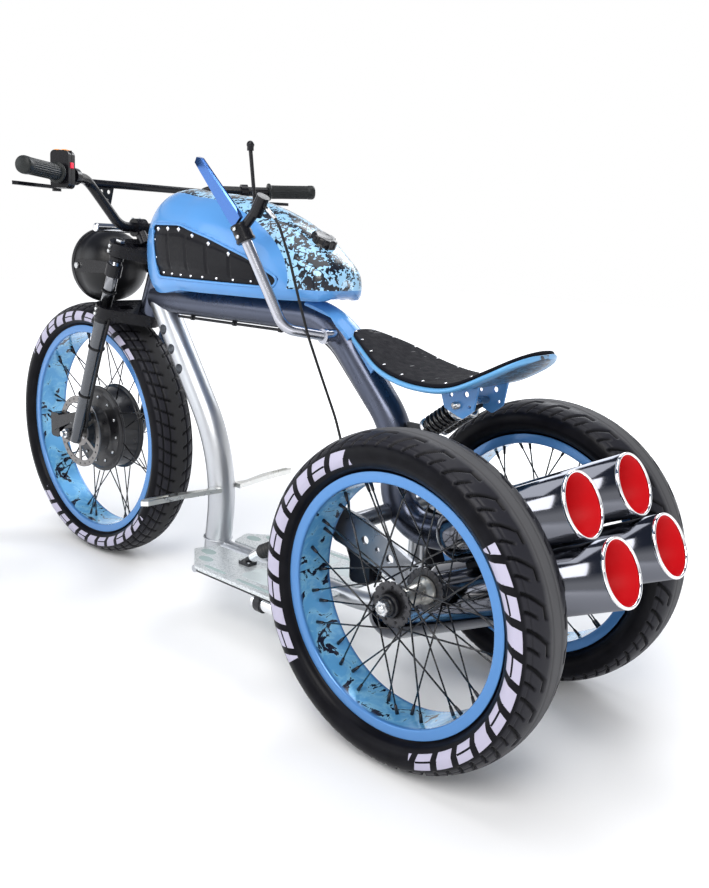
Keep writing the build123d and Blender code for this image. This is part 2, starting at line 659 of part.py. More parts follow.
# ---------------------------------------------------------------- hand lever on the frame's left
# a bent tube from a pivot boss on the backbone, past the tank, to a clamp and a flat blade
lever_r, lever_z = 10, backbone_z - 28
lever_pivot, lever_elbow, lever_top = behind(50, -338, lever_z), behind(112, -384, lever_z + 12), behind(150, -459, 824)
with BuildPart() as hand_lever:
    add(round_bar([lever_pivot, lever_elbow, lever_top], [38], lever_r))
    add(post(behind(0, -338, lever_z), behind(50, -338, lever_z), 12))
    add(post(behind(50, -338, lever_z), behind(58, -338, lever_z), 14))
    add(backbone_tube.part, mode=Mode.SUBTRACT)
    add(tank_saddle.part, mode=Mode.SUBTRACT)
    with BuildSketch(Plane.YZ.offset(-200)):
        with Locations((rear_axle_y - 338, lever_z)):
            Rectangle(80, 80)
    extrude(amount=220, mode=Mode.SUBTRACT)
hand_lever.part.label = "hand_lever"
export_step(hand_lever.part, "parts/hand_lever.step")

lever_line = (Vector(*lever_top) - Vector(*lever_elbow)).normalized()
with BuildPart() as lever_clamp:
    add(post(Vector(*lever_top) - lever_line * 22, Vector(*lever_top) + lever_line * 12, 17))
    # arm to the cable perch and the perch itself with its upright ball lever
    add(post(lever_top, behind(140, -425, 866), 9))
    add(post(behind(140, -434, 852), behind(140, -414, 884), 12))
    add(post(behind(140, -436, 872), behind(140, -450, 962), 3.2))
    with BuildSketch(Plane(origin=behind(140, -450, 962))):
        Circle(6)
    extrude(amount=9)
    add(hand_lever.part, mode=Mode.SUBTRACT)
lever_clamp.part.label = "lever_clamp"
export_step(lever_clamp.part, "parts/lever_clamp.step")

# blade: a polished flat bar, widest where it leaves the clamp
blade_foot, blade_tip = behind(153, -466, 838), behind(164, -566, 950)
blade_line = Vector(*blade_tip) - Vector(*blade_foot)
with BuildPart() as lever_blade:
    # local Y of the blade's face runs across it
    face = Plane(origin=blade_foot, x_dir=blade_line, z_dir=Vector(1, 0, -0.12))
    with BuildSketch(face.offset(-4)):
        with BuildLine():
            Polyline((0, -13), (20, -17), (blade_line.length - 12, -13), (blade_line.length, -4),
                     (blade_line.length - 3, 10), (24, 17), (0, 13), close=True)
        make_face()
    extrude(amount=8)
    chamfer(lever_blade.edges().filter_by(lambda edge: edge.length > 90), 2.5)
    add(lever_clamp.part, mode=Mode.SUBTRACT)
    add(hand_lever.part, mode=Mode.SUBTRACT)
lever_blade.part.label = "lever_blade"
export_step(lever_blade.part, "parts/lever_blade.step")

# brake cable from the perch to the rear caliper, and the wiring clipped under the backbone
cable_r = 2.5
with BuildPart() as brake_cable:
    add(round_bar([behind(139, -420, 872), behind(132, -384, 842), behind(122, -364, 780), behind(106, -352, 705),
                   behind(88, -344, 640), behind(74, -322, 570), behind(66, -290, 495), behind(70, -258, 425),
                   behind(92, -226, 350), behind(116, -200, 290), behind(plate_x - 18, -187, 247)],
                  [60, 110, 140, 140, 140, 160, 110, 90, 90], cable_r))
    add(lever_clamp.part, mode=Mode.SUBTRACT)
    add(rear_caliper.part, mode=Mode.SUBTRACT)
brake_cable.part.label = "brake_cable"
export_step(brake_cable.part, "parts/brake_cable.step")

under = frame_tube_r + seat_gap + 3
with BuildPart() as wiring:
    add(round_bar([behind(9, -830, backbone_z - under), behind(9, -365 - 12, backbone_z - under),
                   behind(9, -262, backbone_z - under - 120)], [120], 3))
    for back in (-780, -640, -500):
        # clips that hold the loom to the tube
        add(post(behind(9, back - 4, backbone_z - under), behind(9, back + 4, backbone_z - under), 5))
    add(backbone_tube.part, mode=Mode.SUBTRACT)
    add(down_tube.part, mode=Mode.SUBTRACT)
wiring.part.label = "wiring"
export_step(wiring.part, "parts/wiring.step")

# ================================================================ steering
clamp_t, clamp_gap, clamp_wall = 28, 1, 9
clamp_low = -head_length / 2 - clamp_gap - clamp_t
clamp_high = head_length / 2 + clamp_gap
with BuildPart() as fork_yoke:
    for base in (clamp_low, clamp_high):
        with BuildSketch(steering.offset(base)) as outline:
            with Locations((-leg_x, -leg_offset), (leg_x, -leg_offset)):
                Circle(leg_r + clamp_wall)
            with Locations((0, 0)):
                Circle(26)
            make_hull()
        extrude(amount=clamp_t)
        with BuildSketch(steering.offset(base)):
            with Locations((-leg_x, -leg_offset), (leg_x, -leg_offset)):
                Circle(leg_r + running_gap)
            for side in (1, -1):
                with Locations((side * 50, -26)):
                    RectangleRounded(34, 18, 6)
        extrude(amount=clamp_t, mode=Mode.SUBTRACT)
    add(post(in_steering(0, 0, clamp_low), in_steering(0, 0, clamp_high + clamp_t + 10), stem_r))
fork_yoke.part.label = "fork_yoke"
export_step(fork_yoke.part, "parts/fork_yoke.step")

# legs: straight upper tubes, tapered lower legs, dropouts that lead forward to the axle
leg_top, leg_low = clamp_high + clamp_t + 3, -axle_drop - 6
with BuildPart() as fork_legs:
    for side in (1, -1):
        x = side * leg_x
        add(post(in_steering(x, leg_offset, clamp_low - 12), in_steering(x, leg_offset, leg_top), leg_r))
        add(post(in_steering(x, leg_offset, clamp_high - 12), in_steering(x, leg_offset, clamp_high - 4), leg_r + 3))
        add(post(in_steering(x, leg_offset, clamp_low - 3), in_steering(x, leg_offset, leg_low), sleeve_r, 12))
        add(post(in_steering(x, leg_offset, clamp_low - 11), in_steering(x, leg_offset, clamp_low - 3), sleeve_r + 3))
        plane = Plane(origin=(x - 5, 0, 0), x_dir=(0, 1, 0), z_dir=(1, 0, 0))
        heel, knee = in_steering(0, leg_offset, leg_low), in_steering(0, leg_offset, leg_low + 60)
        add(slab(plane, [(heel.Y + 8, heel.Z), (knee.Y + 8, knee.Z), (knee.Y - 8, knee.Z),
                         (front_axle_y - 17, front_tyre_r + 12), (front_axle_y - 17, front_tyre_r - 16),
                         (front_axle_y + 12, front_tyre_r - 20)], 10, corner=5))
        add(post((x - 20, front_axle_y, front_tyre_r), (x + 20, front_axle_y, front_tyre_r),
                 axle_r + running_gap), mode=Mode.SUBTRACT)
fork_legs.part.label = "fork_legs"
export_step(fork_legs.part, "parts/fork_legs.step")

with BuildPart() as front_axle:
    reach = leg_x + 24
    add(post((-reach, front_axle_y, front_tyre_r), (reach, front_axle_y, front_tyre_r), axle_r))
    for side in (1, -1):
        plane = Plane(origin=(side * (leg_x + 5 + seat_gap), front_axle_y, front_tyre_r), z_dir=(side, 0, 0))
        with BuildSketch(plane):
            RegularPolygon(12, 6)
        extrude(amount=10)
    add(post((leg_x - 5 - seat_gap, front_axle_y, front_tyre_r),
             (disc_x + disc_t + seat_gap, front_axle_y, front_tyre_r), 12))
    add(post((-leg_x + 5 + seat_gap, front_axle_y, front_tyre_r),
             (motor_right - 8 - seat_gap, front_axle_y, front_tyre_r), 12))
front_axle.part.label = "front_axle"
export_step(front_axle.part, "parts/front_axle.step")

# caliper over the disc's front edge, on an arm from the dropout
with BuildPart() as front_caliper:
    with BuildSketch(Plane(origin=(disc_x - 13, front_axle_y - 84, front_tyre_r + 6), x_dir=(0, 1, 0),
                           z_dir=(1, 0, 0))):
        RectangleRounded(38, 62, 9)
    extrude(amount=34)
    with BuildSketch(Plane(origin=(disc_x - 4, front_axle_y, front_tyre_r), z_dir=(1, 0, 0))):
        Circle(disc_r + 5)
    extrude(amount=disc_t + 8, mode=Mode.SUBTRACT)
    arm = Plane(origin=(disc_x + 15, 0, 0), x_dir=(0, 1, 0), z_dir=(1, 0, 0))
    add(slab(arm, [(front_axle_y - 90, front_tyre_r + 26), (front_axle_y - 90, front_tyre_r - 10),
                   (front_axle_y - 16, front_tyre_r + 20), (front_axle_y + 52, front_tyre_r + 42),
                   (front_axle_y + 54, front_tyre_r + 58), (front_axle_y + 22, front_tyre_r + 56)], 8))
    add(fork_legs.part, mode=Mode.SUBTRACT)
front_caliper.part.label = "front_caliper"
export_step(front_caliper.part, "parts/front_caliper.step")

# handlebar: wide, pulled back, with a straight brace and drilled gussets
bar_r, bar_end = 11, 385
bar_route = [(80, -20, 133), (157, -25, 228), (262, 57, 230), (bar_end - 5, 121, 236)]   # left, back, up from the head
bar_points = ([(-x, head_y + back, head_z + up) for x, back, up in bar_route[::-1]]
              + [(x, head_y + back, head_z + up) for x, back, up in bar_route])
brace_z = head_z + 222
with BuildPart() as handlebar:
    add(round_bar(bar_points, [120, 45, 45, 45, 45, 120], bar_r))
    add(post((-148, head_y - 24, brace_z), (148, head_y - 24, brace_z), 8))
    for side in (1, -1):
        plane = Plane(origin=(0, head_y - 22, 0), x_dir=(1, 0, 0), z_dir=(0, -1, 0))
        outline = [(side * 146, brace_z), (side * 92, brace_z), (side * 104, brace_z - 52), (side * 118, brace_z - 40)]
        holes = [(side * 106, brace_z - 16, 4.5), (side * 124, brace_z - 16, 4.5), (side * 111, brace_z - 34, 4)]
        add(slab(plane, outline, 4, holes))
handlebar.part.label = "handlebar"
export_step(handlebar.part, "parts/handlebar.step")

riser_x = 32
with BuildPart() as bar_clamps:
    for side in (1, -1):
        foot = in_steering(side * riser_x, leg_offset - 6, clamp_high + clamp_t)
        crown = Vector(side * riser_x, head_y - 20, head_z + 133)
        add(post(foot, crown, 13))
        add(post(crown - Vector(14, 0, 0), crown + Vector(14, 0, 0), 20))
    add(handlebar.part, mode=Mode.SUBTRACT)
    add(fork_yoke.part, mode=Mode.SUBTRACT)
bar_clamps.part.label = "bar_clamps"
export_step(bar_clamps.part, "parts/bar_clamps.step")

# grips, switch pod, perches and levers follow the bar's last straight stretch
bar_last = Vector(*bar_points[-1]) - Vector(*bar_points[-2])


def on_bar(side, share):
    """A point on the bar's last stretch, share 0 at its inner end and 1 at its tip."""
    point = Vector(*bar_points[-2]) + bar_last * share
    return Vector(side * point.X, point.Y, point.Z)


grip_r, grip_start = 16, 0.16
with BuildPart() as grips:
    for side in (1, -1):
        add(post(on_bar(side, grip_start), on_bar(side, 1.03), grip_r))
        add(post(on_bar(side, grip_start), on_bar(side, grip_start + 0.04), grip_r + 4))
    add(handlebar.part, mode=Mode.SUBTRACT)
grips.part.label = "grips"
export_step(grips.part, "parts/grips.step")

with BuildPart() as switch_pod:
    along = bar_last.normalized()
    with BuildSketch(Plane(origin=on_bar(1, -0.08), x_dir=(0, 0, 1), z_dir=along)):
        with Locations((8, 0)):
            RectangleRounded(72, 40, 9)
    extrude(amount=24)
    add(handlebar.part, mode=Mode.SUBTRACT)
    add(grips.part, mode=Mode.SUBTRACT)
switch_pod.part.label = "switch_pod"
export_step(switch_pod.part, "parts/switch_pod.step")

lever_forward, lever_drop = 44, 22
with BuildPart() as lever_perches:
    for side in (1, -1):
        near = on_bar(side, -0.34)
        direction = Vector(side * bar_last.X, bar_last.Y, bar_last.Z).normalized()
        add(post(near, near + direction * 16, 17))
        front_point = near + direction * 8 + Vector(side * 12, -lever_forward, -lever_drop)
        add(post(near + direction * 8, front_point, 7))
        add(post(front_point - Vector(0, 0, 8), front_point + Vector(0, 0, 8), 9))
    add(handlebar.part, mode=Mode.SUBTRACT)
    add(grips.part, mode=Mode.SUBTRACT)
    add(switch_pod.part, mode=Mode.SUBTRACT)
lever_perches.part.label = "lever_perches"
export_step(lever_perches.part, "parts/lever_perches.step")

with BuildPart() as brake_levers:
    for side in (1, -1):
        near = on_bar(side, -0.34)
        direction = Vector(side * bar_last.X, bar_last.Y, bar_last.Z).normalized()
        front_point = near + direction * 8 + Vector(side * 12, -lever_forward, -lever_drop)
        plane = Plane(origin=front_point - Vector(0, 0, 3.5), x_dir=(side, 0, 0), z_dir=(0, 0, 1))
        with BuildSketch(plane) as blade:
            with BuildLine():
                Polyline((6, side * -6), (60, side * 14), (118, side * 42), (126, side * 56),
                         (112, side * 54), (56, side * 28), (6, side * 8), close=True)
            make_face()
            fillet(blade.vertices().sort_by(Axis.X)[-2 if side > 0 else 0], 3)
        extrude(amount=7)
    add(lever_perches.part, mode=Mode.SUBTRACT)
brake_levers.part.label = "brake_levers"
export_step(brake_levers.part, "parts/brake_levers.step")

# headlight: a deep round shell that faces forward, its bowl closed by a domed lens
lamp_r = 84
lamp_centre = Vector(0, round(head_y) - 181, round(2 * front_tyre_r + lamp_r + 8))
bowl_r, bowl_depth, lamp_front = lamp_r - 6, 46, 34
bowl_arc = (bowl_r ** 2 + bowl_depth ** 2) / (2 * bowl_depth)
lamp_plane = Plane(origin=lamp_centre, x_dir=(1, 0, 0), z_dir=(0, 0, 1))
lamp_axis = Axis(tuple(lamp_centre), (0, -1, 0))
with BuildPart() as headlight:
    with BuildSketch(lamp_plane):
        with BuildLine():
            Line((0, bowl_depth - lamp_front), (0, lamp_r))
            RadiusArc((0, lamp_r), (lamp_r, 0), lamp_r)
            Polyline((lamp_r, 0), (lamp_r, -lamp_front + 12), (lamp_r + 3, -lamp_front + 10),
                     (lamp_r + 3, -lamp_front), (bowl_r, -lamp_front))
            RadiusArc((bowl_r, -lamp_front), (0, bowl_depth - lamp_front), -bowl_arc)
        make_face()
    revolve(axis=lamp_axis)
headlight.part.label = "headlight"
export_step(headlight.part, "parts/headlight.step")

lens_r, lens_t, lens_dome = bowl_r - seat_gap, 3, 17
lens_arc = (lens_r ** 2 + lens_dome ** 2) / (2 * lens_dome)
with BuildPart() as headlight_lens:
    with BuildSketch(lamp_plane):
        with BuildLine():
            RadiusArc((0, -lamp_front - lens_dome), (lens_r, -lamp_front), -lens_arc)
            Line((lens_r, -lamp_front), (lens_r, -lamp_front + lens_t))
            RadiusArc((lens_r, -lamp_front + lens_t), (0, -lamp_front - lens_dome + lens_t), lens_arc)
            Line((0, -lamp_front - lens_dome + lens_t), (0, -lamp_front - lens_dome))
        make_face()
    revolve(axis=lamp_axis)
    add(headlight.part, mode=Mode.SUBTRACT)
headlight_lens.part.label = "headlight_lens"
export_step(headlight_lens.part, "parts/headlight_lens.step")

# lamp arms: rings on the fork's upper tubes and flat arms to the shell's sides
with BuildPart() as lamp_arms:
    for side in (1, -1):
        low, high = in_steering(side * leg_x, leg_offset, 12), in_steering(side * leg_x, leg_offset, 40)
        add(post(low, high, leg_r + 5))
        plane = Plane(origin=(side * (lamp_r + 2 + seat_gap) - (0 if side > 0 else 4), 0, 0), x_dir=(0, 1, 0),
                      z_dir=(1, 0, 0))
        add(slab(plane, [(low.Y - 4, low.Z + 4), (high.Y - 4, high.Z + 2), (lamp_centre.Y + 10, lamp_centre.Z + 16),
                         (lamp_centre.Y - 12, lamp_centre.Z + 12), (lamp_centre.Y - 12, lamp_centre.Z - 12),
                         (lamp_centre.Y + 10, lamp_centre.Z - 16)], 4))
        add(post(Vector(side * (lamp_r - 2), lamp_centre.Y, lamp_centre.Z),
                 Vector(side * (lamp_r + 8), lamp_centre.Y, lamp_centre.Z), 7))
    for side in (1, -1):
        add(post(in_steering(side * leg_x, leg_offset, 5), in_steering(side * leg_x, leg_offset, 50),
                 leg_r + running_gap), mode=Mode.SUBTRACT)
    add(headlight.part, mode=Mode.SUBTRACT)
lamp_arms.part.label = "lamp_arms"
export_step(lamp_arms.part, "parts/lamp_arms.step")

# chrome cross bar over the lamp with rounded ends, on a stem from the upper clamp
cross_bar_z, cross_bar_y = head_z + 130, head_y - 95
with BuildPart() as lamp_bar:
    add(post((-100, cross_bar_y, cross_bar_z), (100, cross_bar_y, cross_bar_z), 10))
    fillet(lamp_bar.edges().filter_by(GeomType.CIRCLE), 7)
    add(post((0, cross_bar_y, cross_bar_z), in_steering(0, leg_offset, clamp_high + clamp_t), 6))
    add(fork_yoke.part, mode=Mode.SUBTRACT)
lamp_bar.part.label = "lamp_bar"
export_step(lamp_bar.part, "parts/lamp_bar.step")

# hoses down the fork legs to the caliper and the motor
with BuildPart() as fork_hoses:
    for side in (1, -1):
        route = [(side * leg_x, leg_offset - 24, clamp_low + 4), (side * (leg_x + 4), leg_offset - 27, clamp_low - 60),
                 (side * (leg_x + 1), leg_offset - 25, clamp_low - 200), (side * (leg_x - 6), leg_offset - 18, -axle_drop + 70),
                 (side * (leg_x - 16), leg_offset - 10, -axle_drop + 38)]
        add(round_bar([in_steering(*point) for point in route], [120, 160, 60], 3))
    add(fork_yoke.part, mode=Mode.SUBTRACT)
    add(fork_legs.part, mode=Mode.SUBTRACT)
fork_hoses.part.label = "fork_hoses"
export_step(fork_hoses.part, "parts/fork_hoses.step")
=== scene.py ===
"""Dressing for a motorized trike: one large wheel in a raked fork in front, two smaller wheels behind.

Metres, in the CAD frame: +X the rider's left, +Y the rear, +Z up. The file follows the trike from
the ground up: view, wheels, frame, cans, tank, seat, boards, hand lever, fork, bar and lamp.
"""

import json
import math
from functools import partial

import bmesh
import bpy
import numpy as np
from mathutils import Matrix


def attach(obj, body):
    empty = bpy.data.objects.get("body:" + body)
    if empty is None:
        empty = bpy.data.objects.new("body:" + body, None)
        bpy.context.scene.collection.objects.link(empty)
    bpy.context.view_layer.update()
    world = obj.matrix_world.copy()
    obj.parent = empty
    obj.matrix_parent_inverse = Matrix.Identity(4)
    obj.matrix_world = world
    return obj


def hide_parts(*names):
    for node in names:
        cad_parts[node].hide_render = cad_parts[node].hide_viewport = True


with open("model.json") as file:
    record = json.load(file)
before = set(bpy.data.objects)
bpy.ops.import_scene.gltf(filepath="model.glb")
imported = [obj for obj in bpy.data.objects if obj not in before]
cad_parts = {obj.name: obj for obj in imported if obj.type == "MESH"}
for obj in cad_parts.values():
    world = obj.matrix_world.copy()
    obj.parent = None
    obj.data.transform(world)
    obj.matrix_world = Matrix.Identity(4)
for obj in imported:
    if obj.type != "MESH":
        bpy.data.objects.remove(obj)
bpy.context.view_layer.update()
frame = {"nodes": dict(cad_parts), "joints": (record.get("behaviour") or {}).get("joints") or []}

# ------------------------------------------------------------------ view
# A crouching viewer's eye, 0.8 m up and a step behind the left rear wheel. It looks forward, inward
# and down on the trike, with the head tipped a little.
joint_at = {joint["name"]: np.array(joint["pos_m"]) for joint in frame["joints"]}
REAR_Y = joint_at["rear_left_spin"][1]
EYE = (1.2323, REAR_Y + 0.7783, 0.8125)
LOOK_YAW, LOOK_PITCH, HEAD_TIP = math.radians(-138.85), math.radians(-12.99), math.radians(2.38)
FOCAL_PX, FRAME_PX, SENSOR_MM = 876.9, 709, 36


def aim_camera(place, yaw, pitch, roll):
    """Camera at a place: looks along yaw and pitch, then tips by roll about the way it looks."""
    ahead = np.array([math.cos(pitch) * math.cos(yaw), math.cos(pitch) * math.sin(yaw), math.sin(pitch)])
    level = np.array([math.sin(yaw), -math.cos(yaw), 0.0])
    upright = np.cross(level, ahead)
    right = math.cos(roll) * level + math.sin(roll) * upright
    upward = math.cos(roll) * upright - math.sin(roll) * level
    camera = bpy.data.objects.new("camera", bpy.data.cameras.new("camera"))
    turn = np.eye(4)
    turn[:3] = np.stack([right, upward, -ahead, place], 1)
    camera.matrix_world = Matrix(turn.tolist())
    camera.data.sensor_fit = "HORIZONTAL"
    camera.data.sensor_width = SENSOR_MM
    camera.data.lens = SENSOR_MM * FOCAL_PX / FRAME_PX
    camera.data.clip_start, camera.data.clip_end = 0.05, 60
    bpy.context.scene.collection.objects.link(camera)
    bpy.context.scene.camera = camera


aim_camera(EYE, LOOK_YAW, LOOK_PITCH, HEAD_TIP)

# ------------------------------------------------------------------ lights and room
# Four large soft lamps round and above the trike. The room is white to a little above the horizon
# and grey higher up, so that chrome has both to mirror.


def soft_light(name, place, target, size, watts, colour):
    """A square area light at a place, turned to face a target."""
    light = bpy.data.objects.new(name, bpy.data.lights.new(name, "AREA"))
    light.data.shape, light.data.size, light.data.energy, light.data.color = "SQUARE", size, watts, colour
    light.location = place
    towards = np.array(target) - np.array(place)
    light.rotation_euler = (math.acos(-towards[2] / np.linalg.norm(towards)), 0,
                            math.atan2(towards[0], -towards[1]) + math.pi)
    bpy.context.scene.collection.objects.link(light)


soft_light("key_light", (2.4, 1.6, 3.0), (0, 0, 0.4), 2.0, 100, (1.0, 0.98, 0.95))
soft_light("fill_light", (2.8, -1.8, 1.8), (0, 0, 0.4), 2.2, 32, (0.93, 0.96, 1.0))
soft_light("back_light", (-2.6, -0.4, 2.6), (0, 0, 0.5), 1.8, 55, (0.95, 0.97, 1.0))
soft_light("top_light", (0.0, 0.2, 3.6), (0, 0, 0.2), 2.4, 50, (1.0, 1.0, 1.0))

room = bpy.data.worlds.new("studio")
bpy.context.scene.world = room
room.use_nodes = True
room_nodes, room_links = room.node_tree.nodes, room.node_tree.links
look_way = room_nodes.new("ShaderNodeTexCoord")
look_height = room_nodes.new("ShaderNodeSeparateXYZ")
room_fade = room_nodes.new("ShaderNodeValToRGB")
horizon, ceiling = room_fade.color_ramp.elements
horizon.position, horizon.color = 0.24, (1.0, 1.0, 1.0, 1)
ceiling.position, ceiling.color = 0.60, (0.10, 0.12, 0.17, 1)
room_links.new(look_way.outputs["Generated"], look_height.inputs["Vector"])
room_links.new(look_height.outputs["Z"], room_fade.inputs["Fac"])
room_links.new(room_fade.outputs["Color"], room_nodes["Background"].inputs["Color"])
room_nodes["Background"].inputs["Strength"].default_value = 1.0
bpy.context.scene.view_settings.view_transform = "Standard"

# ------------------------------------------------------------------ floor
# A flat pale studio floor. Its white glow grows from 0.6 to 3 metres out, so that the floor runs
# into the background without an edge.


def shader(name, colour, metallic=0.0, roughness=0.5, **sockets):
    """A plain surface: one colour, metallic share and roughness, and any other shader sockets."""
    material = bpy.data.materials.new(name)
    material.use_nodes = True
    surface = surface_of(material)
    surface.inputs["Base Color"].default_value = (*colour, 1)
    surface.inputs["Metallic"].default_value = metallic
    surface.inputs["Roughness"].default_value = roughness
    for socket, value in sockets.items():
        surface.inputs[socket.replace("_", " ")].default_value = value
    return material


def surface_of(material):
    """The one shader of a material."""
    return material.node_tree.nodes["Principled BSDF"]


def node(material, kind, links=(), **settings):
    """Adds a node to a material, sets its properties and sockets, and links its inputs."""
    made = material.node_tree.nodes.new(kind)
    for key, value in settings.items():
        if hasattr(made, key):
            setattr(made, key, value)
        else:
            made.inputs[key.replace("_", " ")].default_value = value
    for socket, source in links:
        material.node_tree.links.new(source, made.inputs[socket])
    return made


def spot_on(material):
    """The place on a piece, in metres of the shared frame."""
    return node(material, "ShaderNodeTexCoord").outputs["Object"]


FLOOR_HALF, FLOOR_Z = 12, -0.0005
GLOW_START, GLOW_FULL = 0.6, 3.0
floor_pale = shader("floor_pale", (0.93, 0.93, 0.93), 0, 0.8, Specular_IOR_Level=0.1,
                    Emission_Color=(1, 1, 1, 1))
reach = node(floor_pale, "ShaderNodeVectorMath", [(0, spot_on(floor_pale))], operation="LENGTH")
glow = node(floor_pale, "ShaderNodeMapRange", [("Value", reach.outputs["Value"])],
            interpolation_type="SMOOTHSTEP", From_Min=GLOW_START, From_Max=GLOW_FULL, To_Min=0.02, To_Max=0.9)
floor_pale.node_tree.links.new(glow.outputs["Result"], surface_of(floor_pale).inputs["Emission Strength"])
floor_mesh = bpy.data.meshes.new("floor")
floor_corners = [(-FLOOR_HALF, -FLOOR_HALF, FLOOR_Z), (FLOOR_HALF, -FLOOR_HALF, FLOOR_Z),
                 (FLOOR_HALF, FLOOR_HALF, FLOOR_Z), (-FLOOR_HALF, FLOOR_HALF, FLOOR_Z)]
floor_mesh.from_pydata(floor_corners, [], [(0, 1, 2, 3)])
floor_mesh.materials.append(floor_pale)
floor = bpy.data.objects.new("floor", floor_mesh)
bpy.context.scene.collection.objects.link(floor)

# ------------------------------------------------------------------ tyres
# Fat rubber tyres. The rear pair has curved grooves that run in from the shoulders to a smooth
# middle band, the front one short slanted blocks. Arcs of plain pale bars mark the sidewalls.
GROOVE_REAR, GROOVE_FRONT = 0.0052, 0.0042
REAR_STEPS, FRONT_STEPS = 960, 700      # round the wheel
# name, body, centre, tyre radius, rim lip radius, tyre width
WHEELS = [("front", "front_wheel", tuple(joint_at["front_wheel_spin"]), 0.320, 0.264, 0.108),
          ("rear_left", "rear_wheel_left", tuple(joint_at["rear_left_spin"]), 0.271, 0.210, 0.116),
          ("rear_right", "rear_wheel_right", tuple(joint_at["rear_right_spin"]), 0.271, 0.210, 0.116)]


def skin(name, points, wrap_rows=False, wrap_cols=False, weld=False):
    """A surface from a grid of points: a face between each four neighbours, UV from the grid's place."""
    rows, cols = points.shape[:2]
    faces_down, faces_over = rows - (not wrap_rows), cols - (not wrap_cols)
    i, j = (a.ravel() for a in np.meshgrid(np.arange(faces_down), np.arange(faces_over), indexing="ij"))
    corners = np.stack([i * cols + j, i * cols + (j + 1) % cols,
                        (i + 1) % rows * cols + (j + 1) % cols, (i + 1) % rows * cols + j], 1)
    over = np.stack([j, j + 1, j + 1, j], 1) / faces_over
    down = np.stack([i, i, i + 1, i + 1], 1) / faces_down
    mesh = bpy.data.meshes.new(name)
    mesh.vertices.add(rows * cols)
    mesh.vertices.foreach_set("co", np.ascontiguousarray(points, dtype=np.float32).ravel())
    mesh.loops.add(4 * len(corners))
    mesh.loops.foreach_set("vertex_index", corners.astype(np.int32).ravel())
    mesh.polygons.add(len(corners))
    mesh.polygons.foreach_set("loop_start", np.arange(0, 4 * len(corners), 4, dtype=np.int32))
    mesh.update(calc_edges=True)
    mesh.uv_layers.new(name="UVMap").data.foreach_set(
        "uv", np.stack([over.ravel(), down.ravel()], 1).astype(np.float32).ravel())
    return facing_out(mesh, weld)


def facing_out(mesh, weld=False):
    """The same mesh with its faces turned outwards, after its doubles are merged where asked."""
    shape = bmesh.new()
    shape.from_mesh(mesh)
    if weld:
        bmesh.ops.remove_doubles(shape, verts=shape.verts, dist=1e-6)
    bmesh.ops.recalc_face_normals(shape, faces=shape.faces)
    shape.to_mesh(mesh)
    shape.free()
    return mesh


def label_points(mesh, name, values):
    """Stores one number per vertex for a material to read."""
    mesh.attributes.new(name, "FLOAT", "POINT").data.foreach_set("value", values.ravel().astype(np.float32))


def piece(name, mesh, material, body, *replaced, smooth=True):
    """Puts a mesh in the scene as a piece that rides on a body and may stand for CAD nodes."""
    mesh.polygons.foreach_set("use_smooth", np.full(len(mesh.polygons), smooth))
    mesh.materials.append(material)
    made = bpy.data.objects.new(name, mesh)
    bpy.context.scene.collection.objects.link(made)
    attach(made, body)
    if replaced:
        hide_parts(*replaced)
    return made


def ease(edge_low, edge_high, value):
    """Smooth step from 0 to 1 between two edges."""
    share = np.clip((value - edge_low) / (edge_high - edge_low), 0, 1)
    return share * share * (3 - 2 * share)


def cut_line(distance, half, fade):
    """Depth share of a groove by the distance to its middle: full inside the half width, then fading."""
    return 1 - ease(half, half + fade, distance)


def hooked_grooves(across, around, radius):
    """Depth share 0 to 1: long cuts sweep in from the shoulder and hook along the middle band.

    At a share s of the half width a long cut has swept (1 - s) ^ 1.6 pitches round the tyre. At
    s = 0.335 a short cut along the tyre ends it. Half-length cuts lie between the long ones, and
    one fine line runs round each shoulder and each side of the middle band.
    """
    pitches, hook_at, half_tread = 32, 0.335, 0.055
    pitch = 2 * math.pi * radius / pitches
    turns = around / (2 * math.pi) * pitches + 0.5 * (across > 0)
    side = np.abs(across)
    sweep = (1 - side) ** 1.6
    long_cut = cut_line(np.abs((turns - sweep) % 1 - 0.5) * pitch, 0.0024, 0.0012) * ease(0.31, 0.34, side)
    past_corner = (turns - 0.66 ** 1.6) % 1 - 0.5
    hook = (cut_line(np.abs(side - hook_at) * half_tread, 0.0018, 0.0012)
            * ease(-0.06, 0.0, past_corner) * (1 - ease(0.30, 0.36, past_corner)))
    off_half_cut = np.abs((turns - sweep + 0.5) % 1 - 0.5) * pitch
    half_cut = cut_line(off_half_cut, 0.0018, 0.0012) * ease(0.56, 0.60, side)
    fine_lines = 0.28 * cut_line(np.minimum(np.abs(side - 0.14), np.abs(side - 0.80)), 0.006, 0.010)
    return np.maximum.reduce([long_cut, hook, half_cut, fine_lines])


def slanted_blocks(across, around, radius):
    """Depth share 0 to 1: cross cuts slanted by 0.9 pitch and two round grooves on each side."""
    pitches = 62
    side = np.abs(across)
    turns = around / (2 * math.pi) * pitches + 0.5 * (across > 0) + 0.9 * side
    cross_cut = cut_line(np.abs(turns % 1 - 0.5) * 2 * math.pi * radius / pitches, 0.0020, 0.0018)
    ring = cut_line(np.minimum(np.abs(side - 0.36), np.abs(side - 0.72)), 0.022, 0.023)
    return np.maximum(cross_cut * ease(0.10, 0.14, side), ring)


